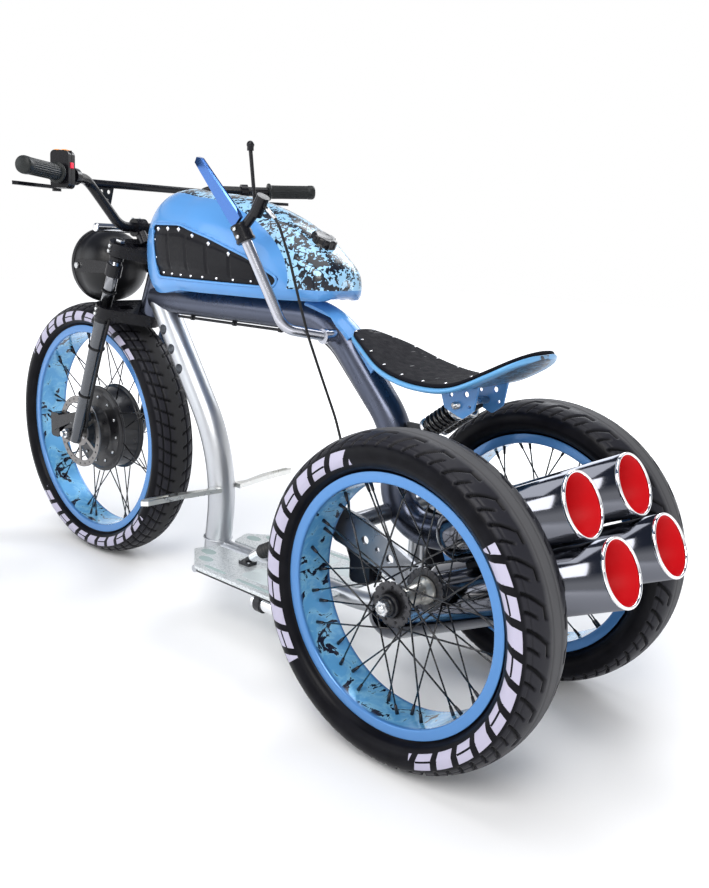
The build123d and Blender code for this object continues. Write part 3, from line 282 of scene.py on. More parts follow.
def tyre_skin(name, centre, radius, lip, width, grooves, groove_depth, outward, steps):
    """The section's angle by the wheel's angle: a rounded section with the tread cut into it.

    Two ellipses meet at the widest place, 0.42 of the way out from the lip. Powers a little under
    one square the outer one's shoulders. The feet drop straight to the rim's seat. The side that
    carries the pale bars is given by outward: 1 left, -1 right, 0 both.
    """
    tread_edge, bead_angle, bead_half, foot_drop = math.radians(66), math.radians(140), 0.0367, 0.0077
    around = np.linspace(0, 2 * math.pi, steps, endpoint=False)
    section = np.concatenate([np.linspace(-bead_angle, -tread_edge, 16)[:-1],
                              np.linspace(-tread_edge, tread_edge, 59),
                              np.linspace(tread_edge, bead_angle, 16)[1:]])
    widest = lip + 0.42 * (radius - lip)
    outer, inner = radius - widest, 0.0306 / 0.061 * (radius - lip)
    section_grid, around_grid = np.meshgrid(section, around, indexing="ij")
    across = np.clip(section_grid / tread_edge, -1, 1)
    cut = grooves(across, around_grid, radius) * (1 - ease(0.93, 1.0, np.abs(across)))
    depth = groove_depth * cut
    # two thin ribs round each sidewall
    angle = np.abs(np.degrees(section_grid))
    rib = 0.0012 * (np.exp(-((angle - 93) / 2.2) ** 2) + np.exp(-((angle - 124) / 2.2) ** 2))
    sine, cosine = np.sin(section_grid), np.cos(section_grid)
    full_x = np.where(angle < 90, np.sign(sine) * np.abs(sine) ** 0.92, sine)
    full_r = np.where(angle < 90, np.abs(cosine) ** 0.88, cosine)
    x = (0.5 * width - depth * np.abs(sine) + rib) * full_x
    r = widest + (np.where(angle < 90, outer, inner) - depth + rib) * full_r
    x = np.where(angle > 139, np.sign(section_grid) * bead_half, x)
    foot_x = np.full((1, steps), bead_half)
    foot_r = np.full((1, steps), lip - foot_drop)
    x, r = np.concatenate([-foot_x, x, foot_x]), np.concatenate([foot_r, r, foot_r])
    points = np.stack([centre[0] + x, centre[1] + r * np.sin(around), centre[2] + r * np.cos(around)], 2)
    mesh = skin(name, points, wrap_rows=True, wrap_cols=True)
    # degrees from the middle of the tread, positive on the side that carries the pale bars
    flank = np.degrees(np.concatenate([[-bead_angle], section, [bead_angle]]))
    flank = flank * outward if outward else np.abs(flank)
    label_points(mesh, "flank", np.repeat(flank, steps))
    # the groove depth share, also read by the rubber to paint shade into the grooves
    label_points(mesh, "cut", np.pad(cut, ((1, 1), (0, 0))))
    return mesh


def reckoned(material, kind, *inputs):
    """The result of one Math node. Each input is a number or another node's output."""
    made = node(material, "ShaderNodeMath", operation=kind)
    for socket, value in zip(made.inputs, inputs):
        if isinstance(value, (int, float)):
            socket.default_value = value
        else:
            material.node_tree.links.new(value, socket)
    return made.outputs[0]


def between(material, share, first, second):
    """One colour that goes over into another by a share. Each is a tuple or another node's output."""
    made = node(material, "ShaderNodeMix", data_type="RGBA")
    material.node_tree.links.new(share, made.inputs[0])
    for socket, value in ((made.inputs[6], first), (made.inputs[7], second)):
        if isinstance(value, tuple):
            socket.default_value = (*value, 1)
        else:
            material.node_tree.links.new(value, socket)
    return made.outputs[2]


def graded(material, value, stops):
    """Colours by a value: a ramp through stops of place and colour."""
    ramp = node(material, "ShaderNodeValToRGB", [("Fac", value)])
    points = ramp.color_ramp.elements
    for place, _ in stops[1:-1]:
        points.new(place)
    for point, (place, colour) in zip(points, stops):
        point.position, point.color = place, (*colour, 1)
    return ramp.outputs["Color"]


def speckle(material, place, **settings):
    """Noise from 0 to 1 by a place."""
    return node(material, "ShaderNodeTexNoise", [("Vector", place)], **settings).outputs["Fac"]


def ranged(material, value, low, high, at_low, at_high):
    """A value's range carried over to another one, clipped at both ends."""
    return node(material, "ShaderNodeMapRange", [("Value", value)], From_Min=low, From_Max=high,
                To_Min=at_low, To_Max=at_high).outputs["Result"]


def feed(material, socket, source):
    """Lets a node's output drive one socket of the material's shader."""
    material.node_tree.links.new(source, surface_of(material).inputs[socket])


def tyre_rubber(name, bars, start, share, crown):
    """Black rubber scrubbed to a grey on the middle band; the grooves carry painted shade, near-black.

    Pale bars stand in two arcs of the sidewall: a slanted repeat by UV u, cut off at 72 and 113
    degrees of the section. Every second one is split at 92 degrees.
    """
    rubber = shader(name, (0.01, 0.01, 0.012), 0, 0.40, Specular_IOR_Level=0.10)
    unrolled = node(rubber, "ShaderNodeUVMap", uv_map="UVMap").outputs["UV"]
    u = node(rubber, "ShaderNodeSeparateXYZ", [("Vector", unrolled)]).outputs["X"]
    angle = node(rubber, "ShaderNodeAttribute", attribute_name="flank").outputs["Fac"]
    cut = node(rubber, "ShaderNodeAttribute", attribute_name="cut").outputs["Fac"]
    sums = partial(reckoned, rubber)
    band = sums("MULTIPLY", sums("GREATER_THAN", angle, 72.0), sums("LESS_THAN", angle, 113.0))
    slant = sums("FRACT", sums("ADD", sums("MULTIPLY", u, bars), sums("MULTIPLY", angle, 0.0075)))
    whole = sums("GREATER_THAN", sums("ABSOLUTE", sums("SUBTRACT", angle, 92.0)), 2.6)
    second = sums("GREATER_THAN", sums("FRACT", sums("MULTIPLY", u, bars * 0.5)), 0.5)
    arc = sums("LESS_THAN", sums("FRACT", sums("ADD", sums("MULTIPLY", u, 2.0), start)), share)
    bar = sums("MULTIPLY", sums("LESS_THAN", slant, 0.70), sums("MAXIMUM", whole, second))
    mark = sums("MULTIPLY", sums("MULTIPLY", band, arc), bar)
    place = spot_on(rubber)
    dust = speckle(rubber, place, Scale=30.0, Detail=6.0)
    sidewall = graded(rubber, dust, [(0.35, (0.0020, 0.0020, 0.0035)), (0.80, (0.0065, 0.0065, 0.0095))])
    off_middle = sums("ABSOLUTE", angle)
    tread = ranged(rubber, off_middle, 61.0, 67.0, 1.0, 0.0)
    middle = ranged(rubber, sums("ADD", off_middle, sums("MULTIPLY", dust, 9.0)), 16.0, 26.0, 1.0, 0.0)
    worn = between(rubber, tread, sidewall, (0.020, 0.020, 0.025))
    scrubbed = between(rubber, middle, worn, (crown, crown, 1.06 * crown))
    marked = between(rubber, mark, scrubbed, (0.43, 0.41, 0.52))
    # painted shade: by the cut attribute the grooves go near-black, as the shade that falls into them
    feed(rubber, "Base Color", between(rubber, cut, marked, (0.0015, 0.0015, 0.002)))
    feed(rubber, "Roughness", ranged(rubber, middle, 0.0, 1.0, 0.34, 0.62))
    grain = speckle(rubber, place, Scale=900.0, Detail=2.0)
    lift = node(rubber, "ShaderNodeBump", [("Height", grain)], Strength=0.25, Distance=0.0004)
    feed(rubber, "Normal", lift.outputs["Normal"])
    return rubber


rear_rubber = tyre_rubber("rubber_rear", bars=34, start=0.72, share=0.62, crown=0.080)
front_rubber = tyre_rubber("rubber_front", bars=40, start=0.30, share=0.56, crown=0.026)
for name, body, centre, radius, lip, width in WHEELS:
    if name == "front":
        mesh = tyre_skin("front_tyre_tread", centre, radius, lip, width, slanted_blocks,
                         GROOVE_FRONT, 0, FRONT_STEPS)
        piece("front_tyre_tread", mesh, front_rubber, body, "front_tyre")
    else:
        mesh = tyre_skin(f"{name}_tyre_tread", centre, radius, lip, width, hooked_grooves,
                         GROOVE_REAR, math.copysign(1, centre[0]), REAR_STEPS)
        piece(f"{name}_tyre_tread", mesh, rear_rubber, body, f"{name}_tyre")

# ------------------------------------------------------------------ rims
# Wide rolled aluminium rims in blue with crisp lips. The deep inner band is paler, with a plain
# pattern of dark flecks, and each spoke enters it through a small nipple.
RIM_HALF, RIM_WELL, LIP_THICK, BEAD_SEAT = 0.040, 0.0256, 0.003, 0.008


def turned(name, profile, centre, axis, steps=160):
    """A closed profile of (along, out) points turned about an axis through centre."""
    axis = np.array(axis, float) / np.linalg.norm(axis)
    side = np.cross(axis, (0.0, 0.0, 1.0) if abs(axis[2]) < 0.9 else (0.0, 1.0, 0.0))
    side /= np.linalg.norm(side)
    profile = np.array(profile, float)
    turn = np.linspace(0, 2 * math.pi, steps, endpoint=False)
    ring = np.cos(turn)[:, None] * side + np.sin(turn)[:, None] * np.cross(axis, side)
    points = np.array(centre) + profile[:, 0, None, None] * axis + profile[:, 1, None, None] * ring
    return skin(name, points, wrap_rows=True, wrap_cols=True, weld=True)


def softened(corners, radius, steps=4):
    """A closed profile with each corner cut to a small curve: points blended along a parabola."""
    corners = np.array(corners, float)
    before, after = np.roll(corners, 1, 0) - corners, np.roll(corners, -1, 0) - corners
    length_b, length_a = np.linalg.norm(before, axis=1)[:, None], np.linalg.norm(after, axis=1)[:, None]
    start = corners + before / length_b * np.minimum(radius, 0.45 * length_b)
    end = corners + after / length_a * np.minimum(radius, 0.45 * length_a)
    t = np.linspace(0, 1, steps + 1)[None, :, None]
    curve = (1 - t) ** 2 * start[:, None] + 2 * t * (1 - t) * corners[:, None] + t ** 2 * end[:, None]
    return curve.reshape(-1, 2)


def rim_paint():
    """Blue on the lips. Where the own attribute says inside, pale blue under dark flecks of noise."""
    paint = shader("rim_blue", (0.08, 0.26, 0.58), 0.3, 0.24, Coat_Weight=0.35, Coat_Roughness=0.08)
    inside = node(paint, "ShaderNodeAttribute", attribute_name="inside").outputs["Fac"]
    unrolled = node(paint, "ShaderNodeUVMap", uv_map="UVMap").outputs["UV"]
    stretched = node(paint, "ShaderNodeMapping", [("Vector", unrolled)], Scale=(30, 9, 1)).outputs["Vector"]
    flecks = speckle(paint, stretched, Scale=1.05, Detail=4.0, Roughness=0.6, Distortion=1.4)
    band = graded(paint, flecks, [(0.44, (0.12, 0.40, 0.74)), (0.565, (0.24, 0.56, 0.82)),
                                  (0.58, (0.006, 0.010, 0.030))])
    feed(paint, "Base Color", between(paint, inside, (0.065, 0.215, 0.50), band))
    return paint


def rim_profile(lip):
    """Lip, bead seat, well and back to the other lip, closed along the flat inner band."""
    corners = [(-RIM_HALF, lip), (LIP_THICK - RIM_HALF, lip), (LIP_THICK - RIM_HALF, lip - BEAD_SEAT),
               (-RIM_WELL, lip - BEAD_SEAT), (0.004 - RIM_WELL, lip - 0.013), (RIM_WELL - 0.004, lip - 0.013),
               (RIM_WELL, lip - BEAD_SEAT), (RIM_HALF - LIP_THICK, lip - BEAD_SEAT),
               (RIM_HALF - LIP_THICK, lip), (RIM_HALF, lip), (RIM_HALF, lip - 0.0160),
               (RIM_HALF - 0.0025, lip - 0.018), (0.0025 - RIM_HALF, lip - 0.018), (-RIM_HALF, lip - 0.0160)]
    profile = softened(corners, 0.0014)
    # more points over the inner band, the longest stretch, for its pattern's edge
    band = int(np.linalg.norm(profile - np.roll(profile, -1, 0), axis=1).argmax())
    share = np.linspace(0, 1, 14)[1:-1, None]
    return np.insert(profile, band + 1, profile[band] + share * (profile[band + 1] - profile[band]), 0)


rim_blue = rim_paint()
for name, body, centre, radius, lip, width in WHEELS:
    mesh = turned(f"{name}_rim_painted", rim_profile(lip), centre, (1, 0, 0), 200)
    place = np.empty(len(mesh.vertices) * 3, dtype=np.float32)
    mesh.vertices.foreach_get("co", place)
    place = place.reshape(-1, 3) - np.array(centre)
    out = np.hypot(place[:, 1], place[:, 2])
    label_points(mesh, "inside", (out < lip - 0.0172) & (np.abs(place[:, 0]) < RIM_HALF - 0.005))
    piece(f"{name}_rim_painted", mesh, rim_blue, body, f"{name}_rim")

# ------------------------------------------------------------------ spokes
# Black steel spokes in a crossed pattern, two rings of eighteen in each wheel. Each one ends in a
# black nipple at the rim.
SPOKE_R, RING_SPOKES, NIPPLE_LONG = 0.0015, 18, 0.015


def rods(name, starts, ends, start_r, end_r, sides=8, rings=2):
    """Many straight round rods in one mesh: circles carried from each start to each end, closed by lids."""
    starts, ends = np.array(starts, float), np.array(ends, float)
    along = ends - starts
    along /= np.linalg.norm(along, axis=1)[:, None]
    helper = np.where(np.abs(along[:, 2:3]) < 0.9, (0.0, 0.0, 1.0), (0.0, 1.0, 0.0))
    side = np.cross(along, helper)
    side /= np.linalg.norm(side, axis=1)[:, None]
    turn = np.arange(sides) * 2 * math.pi / sides
    ring = (np.cos(turn)[None, :, None] * side[:, None]
            + np.sin(turn)[None, :, None] * np.cross(along, side)[:, None])
    share = np.linspace(0, 1, rings)
    centre = starts[:, None] + share[None, :, None] * (ends - starts)[:, None]
    radius = start_r + (end_r - start_r) * share
    points = centre[:, :, None] + radius[None, :, None, None] * ring[:, None]
    i, j = (a.ravel() for a in np.meshgrid(np.arange(rings - 1), np.arange(sides), indexing="ij"))
    wall = np.stack([i * sides + j, i * sides + (j + 1) % sides,
                     (i + 1) * sides + (j + 1) % sides, (i + 1) * sides + j], 1)
    first = np.arange(len(starts))[:, None] * rings * sides
    walls = (wall[None] + first[:, :, None]).reshape(-1, 4)
    lids = np.concatenate([first + np.arange(sides)[::-1], first + (rings - 1) * sides + np.arange(sides)])
    mesh = bpy.data.meshes.new(name)
    mesh.from_pydata(points.reshape(-1, 3).tolist(), [], walls.tolist() + lids.tolist())
    return facing_out(mesh)


def on_circle(centre, across, out, angle):
    """Places on a circle round a wheel's axis, by distance across, radius and angle from the top."""
    across = np.broadcast_to(across, angle.shape)
    return np.array(centre) + np.stack([across, out * np.sin(angle), out * np.cos(angle)], 1)


spoke_black = shader("spoke_black", (0.012, 0.012, 0.014), 0.85, 0.16, Coat_Weight=0.6, Coat_Roughness=0.05)
nipple_black = shader("nipple_black", (0.03, 0.03, 0.035), 0.8, 0.3)
for name, body, centre, radius, lip, width in WHEELS:
    # each ring of heads: distance across, radius, and the side of the rim its spokes pull to
    if name == "front":
        swing = math.radians(12)
        head_rings = [(0.0105, 0.1109, 1), (-0.0445, 0.1109, -1)]
    else:
        swing = math.radians(62)
        out = math.copysign(1, centre[0])
        head_rings = [(out * 0.026, 0.0389, out), (out * -0.059, 0.0389, -out)]
    heads, tips = [], []
    for half_turn, (across, head_r, pull) in enumerate(head_rings):
        spoke = np.arange(RING_SPOKES)
        leading = np.where(spoke % 2 == 1, 1, -1)
        angle = np.radians(20 * spoke + 10 * half_turn)
        heads.append(on_circle(centre, across + leading * 0.0034, head_r, angle))
        tips.append(on_circle(centre, pull * 0.009 + leading * 0.003, lip - 0.0186, angle + leading * swing))
    heads, tips = np.concatenate(heads), np.concatenate(tips)
    piece(f"{name}_spoke_set", rods(f"{name}_spoke_set", heads, tips, SPOKE_R, SPOKE_R),
          spoke_black, body, f"{name}_spokes")
    inward = (heads - tips) / np.linalg.norm(heads - tips, axis=1)[:, None]
    piece(f"{name}_nipples", rods(f"{name}_nipples", tips + inward * NIPPLE_LONG, tips, 0.0024, 0.0032),
          nipple_black, body)

# ------------------------------------------------------------------ rear hubs
# Turned steel shells with cream-silver barrels between two dark notched flanges. A stepped black cap
# covers the outer bearing, nine rivet heads stand on the outer flange and a plated nut holds the axle.
HUB_SHELL = [(-0.057, 0.0072), (-0.057, 0.0240), (-0.050, 0.0225), (-0.041, 0.0180), (-0.030, 0.0170),
             (0.004, 0.0170), (0.014, 0.0185), (0.024, 0.0220), (0.024, 0.0072)]
HUB_CAP = [(0.028, 0.0072), (0.028, 0.0190), (0.036, 0.0190), (0.0365, 0.0160), (0.0415, 0.0155),
           (0.0440, 0.0130), (0.0440, 0.0072)]
NUT_SEAT = 0.0443       # from the wheel's middle


def notched_disc(name, centre, axis, inner, outer, thick, notches, notch_depth):
    """A flat ring whose outer radius dips at each notch: radius by angle, carried round the section."""
    turn = np.linspace(0, 2 * math.pi, 360, endpoint=False)
    off_tooth = np.abs((turn / (2 * math.pi) * notches) % 1 - 0.5) * 2
    edge = outer - notch_depth * ease(0.55, 0.8, off_tooth)
    bore = np.full_like(turn, inner)
    rows = [(-0.5 * thick, bore), (-0.5 * thick, edge - 0.0006), (-0.35 * thick, edge),
            (0.35 * thick, edge), (0.5 * thick, edge - 0.0006), (0.5 * thick, bore)]
    side = np.cross(axis, (0.0, 0.0, 1.0))
    ring = np.cos(turn)[:, None] * side + np.sin(turn)[:, None] * np.cross(axis, side)
    return skin(name, np.stack([centre + along * axis + radius[:, None] * ring for along, radius in rows]),
                wrap_rows=True, wrap_cols=True)


def joined(name, meshes):
    """One mesh from several that don't touch."""
    shape = bmesh.new()
    for mesh in meshes:
        shape.from_mesh(mesh)
        bpy.data.meshes.remove(mesh)
    made = bpy.data.meshes.new(name)
    shape.to_mesh(made)
    shape.free()
    return made


def hexagons(name, heads):
    """Hexagon heads, each by place, direction, size and height: six-sided, with the top edge cut back."""
    return joined(name, [
        turned(f"{name}_{number}",
               [(0, 0), (0, size), (0.88 * height, size), (height, 0.88 * size), (height, 0)], place, way, 6)
        for number, (place, way, size, height) in enumerate(heads)])


def wear(material, scale, low, high, bump=0.0, bump_scale=0.0):
    """Uneven gloss: noise moves the roughness between two values. Finer noise may lift the surface."""
    place = spot_on(material)
    uneven = speckle(material, place, Scale=scale, Detail=5.0)
    feed(material, "Roughness", ranged(material, uneven, 0.3, 0.7, low, high))
    if bump:
        grain = speckle(material, place, Scale=bump_scale, Detail=4.0)
        lift = node(material, "ShaderNodeBump", [("Height", grain)], Strength=bump, Distance=0.0006)
        feed(material, "Normal", lift.outputs["Normal"])
    return material


hub_silver = wear(shader("hub_silver", (0.62, 0.60, 0.55), 0.9, 0.3), 60, 0.22, 0.42)
dark_steel = wear(shader("hub_dark", (0.055, 0.055, 0.06), 0.75, 0.4), 70, 0.3, 0.5)
cap_black = shader("cap_black", (0.006, 0.006, 0.008), 0.0, 0.28, Specular_IOR_Level=0.25, Coat_Weight=0.1)
plated = wear(shader("plated_steel", (0.66, 0.67, 0.68), 1.0, 0.25), 90, 0.18, 0.36)
axle_seats = []
for name, body, centre, radius, lip, width in WHEELS[1:]:
    out = np.array([math.copysign(1.0, centre[0]), 0.0, 0.0])
    piece(f"{name}_hub_shell", turned(f"{name}_hub_shell", softened(HUB_SHELL, 0.002), centre, out, 64),
          hub_silver, body, f"{name}_hub")
    flanges = [notched_disc(f"{name}_flange_{number}", centre + along * out, out,
                            inner=0.0165, outer=0.0370, thick=0.004, notches=18, notch_depth=0.0022)
               for number, along in enumerate((-0.059, 0.026))]
    piece(f"{name}_hub_flanges", joined(f"{name}_hub_flanges", flanges), dark_steel, body)
    piece(f"{name}_hub_cap", turned(f"{name}_hub_cap", softened(HUB_CAP, 0.0012), centre, out, 48),
          cap_black, body)
    seats = on_circle(centre, 0.0281 * out[0], 0.0285, np.arange(9) * 2 * math.pi / 9)
    piece(f"{name}_flange_rivets",
          rods(f"{name}_flange_rivets", seats, seats + 0.0012 * out, 0.0030, 0.0024, 12), cap_black, body)
    axle_seats.append((centre + NUT_SEAT * out, out))
piece("rear_axle_nuts", hexagons("rear_axle_nuts", [(seat, out, 0.0123, 0.0083) for seat, out in axle_seats]),
      plated, "frame", smooth=False)
piece("rear_axle_ends",
      rods("rear_axle_ends", [seat + 0.001 * out for seat, out in axle_seats],
           [seat + 0.0118 * out for seat, out in axle_seats], 0.0071, 0.0066, 24, 3), plated, "frame")

# ------------------------------------------------------------------ front hub motor and brake disc
# A black drum motor laced into the rim, with a ring of twelve screws on each cover. The drilled
# steel brake disc is bolted to its left boss.
DRUM = [(-0.060, 0.0072), (-0.060, 0.030), (-0.052, 0.040), (-0.052, 0.096), (-0.047, 0.104), (-0.047, 0.110),
        (-0.042, 0.110), (-0.038, 0.102), (0.004, 0.102), (0.008, 0.110), (0.013, 0.110), (0.013, 0.104),
        (0.018, 0.096), (0.018, 0.060), (0.030, 0.046), (0.048, 0.034), (0.0657, 0.034), (0.0657, 0.0072)]


def coated(material, *names):
    """Gives CAD nodes a finish; their shape stays."""
    for name in names:
        mesh = frame["nodes"][name].data
        mesh.materials.clear()
        mesh.materials.append(material)


front_hub = joint_at["front_wheel_spin"]
motor_black = wear(shader("motor_black", (0.008, 0.008, 0.010), 0.3, 0.34, Coat_Weight=0.15), 55, 0.26, 0.42)
piece("motor_drum", turned("motor_drum", softened(DRUM, 0.003), front_hub, (1, 0, 0), 128),
      motor_black, "front_wheel", "front_hub")
for label, across, out in (("left", 0.0178, 1), ("right", -0.0518, -1)):
    seats = on_circle(front_hub, across, 0.084, np.arange(12) * 2 * math.pi / 12 + 0.1)
    piece(f"motor_screws_{label}",
          rods(f"motor_screws_{label}", seats, seats + np.array([out * 0.0032, 0, 0]), 0.0042, 0.0036, 16),
          plated, "front_wheel")
disc_steel = wear(shader("disc_steel", (0.22, 0.21, 0.205), 1.0, 0.36), 120, 0.3, 0.45)
coated(disc_steel, "front_disc")
seats = on_circle(front_hub, 0.069, 0.024, np.arange(6) * 2 * math.pi / 6)
piece("disc_bolts", rods("disc_bolts", seats, seats + np.array([0.0024, 0, 0]), 0.0042, 0.0038, 16),
      plated, "front_wheel")

# ------------------------------------------------------------------ frame tubes
# Large bent steel tubes, brushed and lacquered: a backbone that runs down to the tail, a down tube
# with three through holes and a low rail. A fine rippled weld bead rings the tail and the foot.


def bead(name, centre, axis, radius):
    """A weld bead: a ring whose thickness ripples once every few millimetres."""
    size, ripple = 0.0026, 0.0045
    axis = np.array(axis, float) / np.linalg.norm(axis)
    side = np.cross(axis, (1.0, 0.0, 0.0))
    side /= np.linalg.norm(side)
    turn, round_it = np.meshgrid(np.linspace(0, 2 * math.pi, 240, endpoint=False),
                                 np.arange(8) * math.pi / 4, indexing="ij")
    thick = size * (0.82 + 0.18 * np.abs(np.cos(0.5 * round(2 * math.pi * radius / ripple) * turn)))
    out = radius + thick * np.cos(round_it)
    ring = np.cos(turn)[..., None] * side + np.sin(turn)[..., None] * np.cross(axis, side)
    points = centre + (thick * np.sin(round_it))[..., None] * axis + out[..., None] * ring
    return skin(name, points, wrap_rows=True, wrap_cols=True)


def at(left, back, height):
    """Metres in the shared frame from millimetres: left, behind the rear axle, above the floor."""
    return np.array([left / 1000, REAR_Y + back / 1000, height / 1000])


bright_steel = wear(shader("bright_steel", (0.50, 0.515, 0.54), 1.0, 0.3), 14, 0.30, 0.42)
# painted reflection and shade: the head tube and backbone get a darker copy of the frame steel, since they
# look dark where the down tube looks bright
smoked_steel = wear(shader("smoked_steel", (0.085, 0.095, 0.13), 1.0, 0.2), 12, 0.22, 0.34)
dark_plate = wear(shader("dark_plate", (0.035, 0.036, 0.040), 0.6, 0.38), 50, 0.3, 0.45)
grey_plate = wear(shader("grey_plate", (0.26, 0.27, 0.29), 0.9, 0.3), 40, 0.24, 0.40)
coated(bright_steel, "down_tube", "lower_rail")
coated(smoked_steel, "head_tube", "backbone_tube")
coated(grey_plate, "axle_carrier")
coated(dark_plate, "can_plate")
coated(plated, "front_axle")
piece("tail_bead", bead("tail_bead", at(0, 1, 315.8), (0, 1, 0.06), 0.0312), bright_steel, "frame")
piece("foot_bead", bead("foot_bead", at(0, -700.5, 144), (0, 0.08, 1), 0.0305), bright_steel, "frame")

# ------------------------------------------------------------------ rear brake
# A cast black caliper under the left carrier plate, painted like the drum motor. The CAD node
# stands as it is and only takes its finish here.
coated(motor_black, "rear_caliper")

# ------------------------------------------------------------------ exhaust cans
# Four hollow display cans, two over two, spun from steel and chromed nearly black. The mouth is
# rolled to a bright bead and the inside is enamelled red to a flat floor a hand deep.
CAN_SLOPE, CAN_LEFT = math.radians(25), 86
CAN_TIPS = [(225, 453, 0.262), (295, 368, 0.488)]   # mm behind the axle, mm up, length in metres
can_line = np.array([0.0, math.cos(CAN_SLOPE), math.sin(CAN_SLOPE)])
dark_chrome = wear(shader("dark_chrome", (0.125, 0.13, 0.15), 1.0, 0.1), 9, 0.07, 0.14)
bright_chrome = shader("bright_chrome", (0.90, 0.91, 0.93), 1.0, 0.06)
# The red lining also glows a little: painted light that brightens the inside of the cans.
red_enamel = shader("red_enamel", (0.42, 0.001, 0.004), 0.0, 0.45, Specular_IOR_Level=0.12,
                    Emission_Color=(0.8, 0.0, 0.006, 1), Emission_Strength=0.16)
shells, lips, linings = [], [], []
for side in (1, -1):
    for back, height, length in CAN_TIPS:
        nose = at(CAN_LEFT * side, back, height) - can_line * length
        label = f"{side}_{back}"
        shell = [(0.0, 0.0), (0.0, 0.0150), (0.0025, 0.0260), (0.0100, 0.0385), (0.0200, 0.0455),
                 (0.0330, 0.0490), (length - 0.200, 0.0490), (length - 0.0040, 0.0524),
                 (length - 0.0040, 0.0490), (length - 0.1230, 0.0486), (length - 0.1230, 0.0)]
        shells.append(turned(f"shell_{label}", shell, nose, can_line, 128))
        turn = np.linspace(0, 2 * math.pi, 20, endpoint=False)
        lip = np.stack([length - 0.0020 + 0.0034 * np.cos(turn), 0.0504 + 0.0027 * np.sin(turn)], 1)
        lips.append(turned(f"lip_{label}", lip, nose, can_line, 128))
        lining = [(length - 0.0030, 0.0486), (length - 0.0030, 0.0474), (length - 0.1120, 0.0464),
                  (length - 0.1170, 0.0440), (length - 0.1190, 0.0), (length - 0.1215, 0.0),
                  (length - 0.1215, 0.0484)]
        linings.append(turned(f"lining_{label}", lining, nose, can_line, 128))
piece("can_shells", joined("can_shells", shells), dark_chrome, "frame", "exhaust_cans")
piece("can_lips", joined("can_lips", lips), bright_chrome, "frame")
piece("can_linings", joined("can_linings", linings), red_enamel, "frame", "can_liners")

# ------------------------------------------------------------------ tank
# Pressed steel tank in gloss blue. The top and tail carry a plain pattern of black flecks on pale
# blue. Each flank is pressed in behind a rolled edge, to seat a studded leather panel.
# stations: behind the rear axle, bottom, top, half width (mm)
TANK = np.array([(-880, 744, 852, 56), (-835, 704, 892, 88), (-700, 700, 900, 116), (-560, 700, 882, 113),
                 (-420, 700, 826, 86), (-333, 702, 762, 56)], float)
# the flank's width share by height share: round belly, widest at a third, then the shoulder
FLANK = np.array([(0.0, 0.84), (0.06, 0.925), (0.16, 0.975), (0.30, 1.0), (0.46, 0.985), (0.62, 0.935),
                  (0.74, 0.85), (0.85, 0.70), (0.93, 0.50), (0.98, 0.27), (1.0, 0.0)])
# the pressed-in panel's outline, behind the axle and up (mm)
PANEL = [(-806, 832), (-770, 724), (-440, 722), (-428, 740), (-500, 776), (-600, 808), (-700, 832)]
NOSE, NOSE_LONG, TAIL, TAIL_LONG = -880, 22, -333, 24   # ends and their rounding (mm)
PRESSED_IN = 5.0
HEAD = joint_at["steer"]
steer_axis = next(np.array(joint["axis"]) for joint in frame["joints"] if joint["name"] == "steer")
LEAN = math.atan2(steer_axis[1], steer_axis[2])


def flowing(values, at_values, knots):
    """A smooth curve through knots: cubic pieces whose slopes come from the neighbours."""
    values, knots = np.array(values, float), np.array(knots, float)
    slope = np.gradient(values, knots, axis=0)
    k = np.clip(np.searchsorted(knots, at_values) - 1, 0, len(knots) - 2)
    span = knots[k + 1] - knots[k]
    t = (at_values - knots[k]) / span
    shape = (...,) + (None,) * (values.ndim - 1)
    t, span = t[shape], span[shape]
    return ((2 * t ** 3 - 3 * t ** 2 + 1) * values[k] + (t ** 3 - 2 * t ** 2 + t) * span * slope[k]
            + (3 * t ** 2 - 2 * t ** 3) * values[k + 1] + (t ** 3 - t ** 2) * span * slope[k + 1])


def tank_half_width(back, height):
    """Half width of the tank in mm at a place behind the axle and a height: width times flank share."""
    bottom, top, half = np.moveaxis(flowing(TANK[:, 1:], np.asarray(back, float), TANK[:, 0]), -1, 0)
    share = np.clip((height - bottom) / (top - bottom), 0, 1)
    return half * np.interp(share, FLANK[:, 0], FLANK[:, 1])


def in_outline(back, height, outline):
    """Signed distance in mm to a closed outline, positive inside: nearest edge, sign by crossings."""
    a, b = np.array(outline, float), np.roll(np.array(outline, float), -1, 0)
    point = np.stack([back, height], -1)[..., None, :]
    edge = b - a
    t = np.clip(((point - a) * edge).sum(-1) / (edge ** 2).sum(-1), 0, 1)
    distance = np.linalg.norm(point - a - t[..., None] * edge, axis=-1).min(-1)
    crossing = (a[:, 1] > point[..., 1]) != (b[:, 1] > point[..., 1])
    rise = np.where(edge[:, 1] == 0, 1e-9, edge[:, 1])
    reach = a[:, 0] + (point[..., 1] - a[:, 1]) / rise * edge[:, 0]
    inside = (crossing & (point[..., 0] < reach)).sum(-1) % 2 == 1
    return np.where(inside, distance, -distance)


def quarter(past, length):
    """Share of the full height by the distance past the place where an end starts to round off."""
    return np.sqrt(np.clip(1 - np.clip(past / length, 0, 1) ** 2, 0, 1))


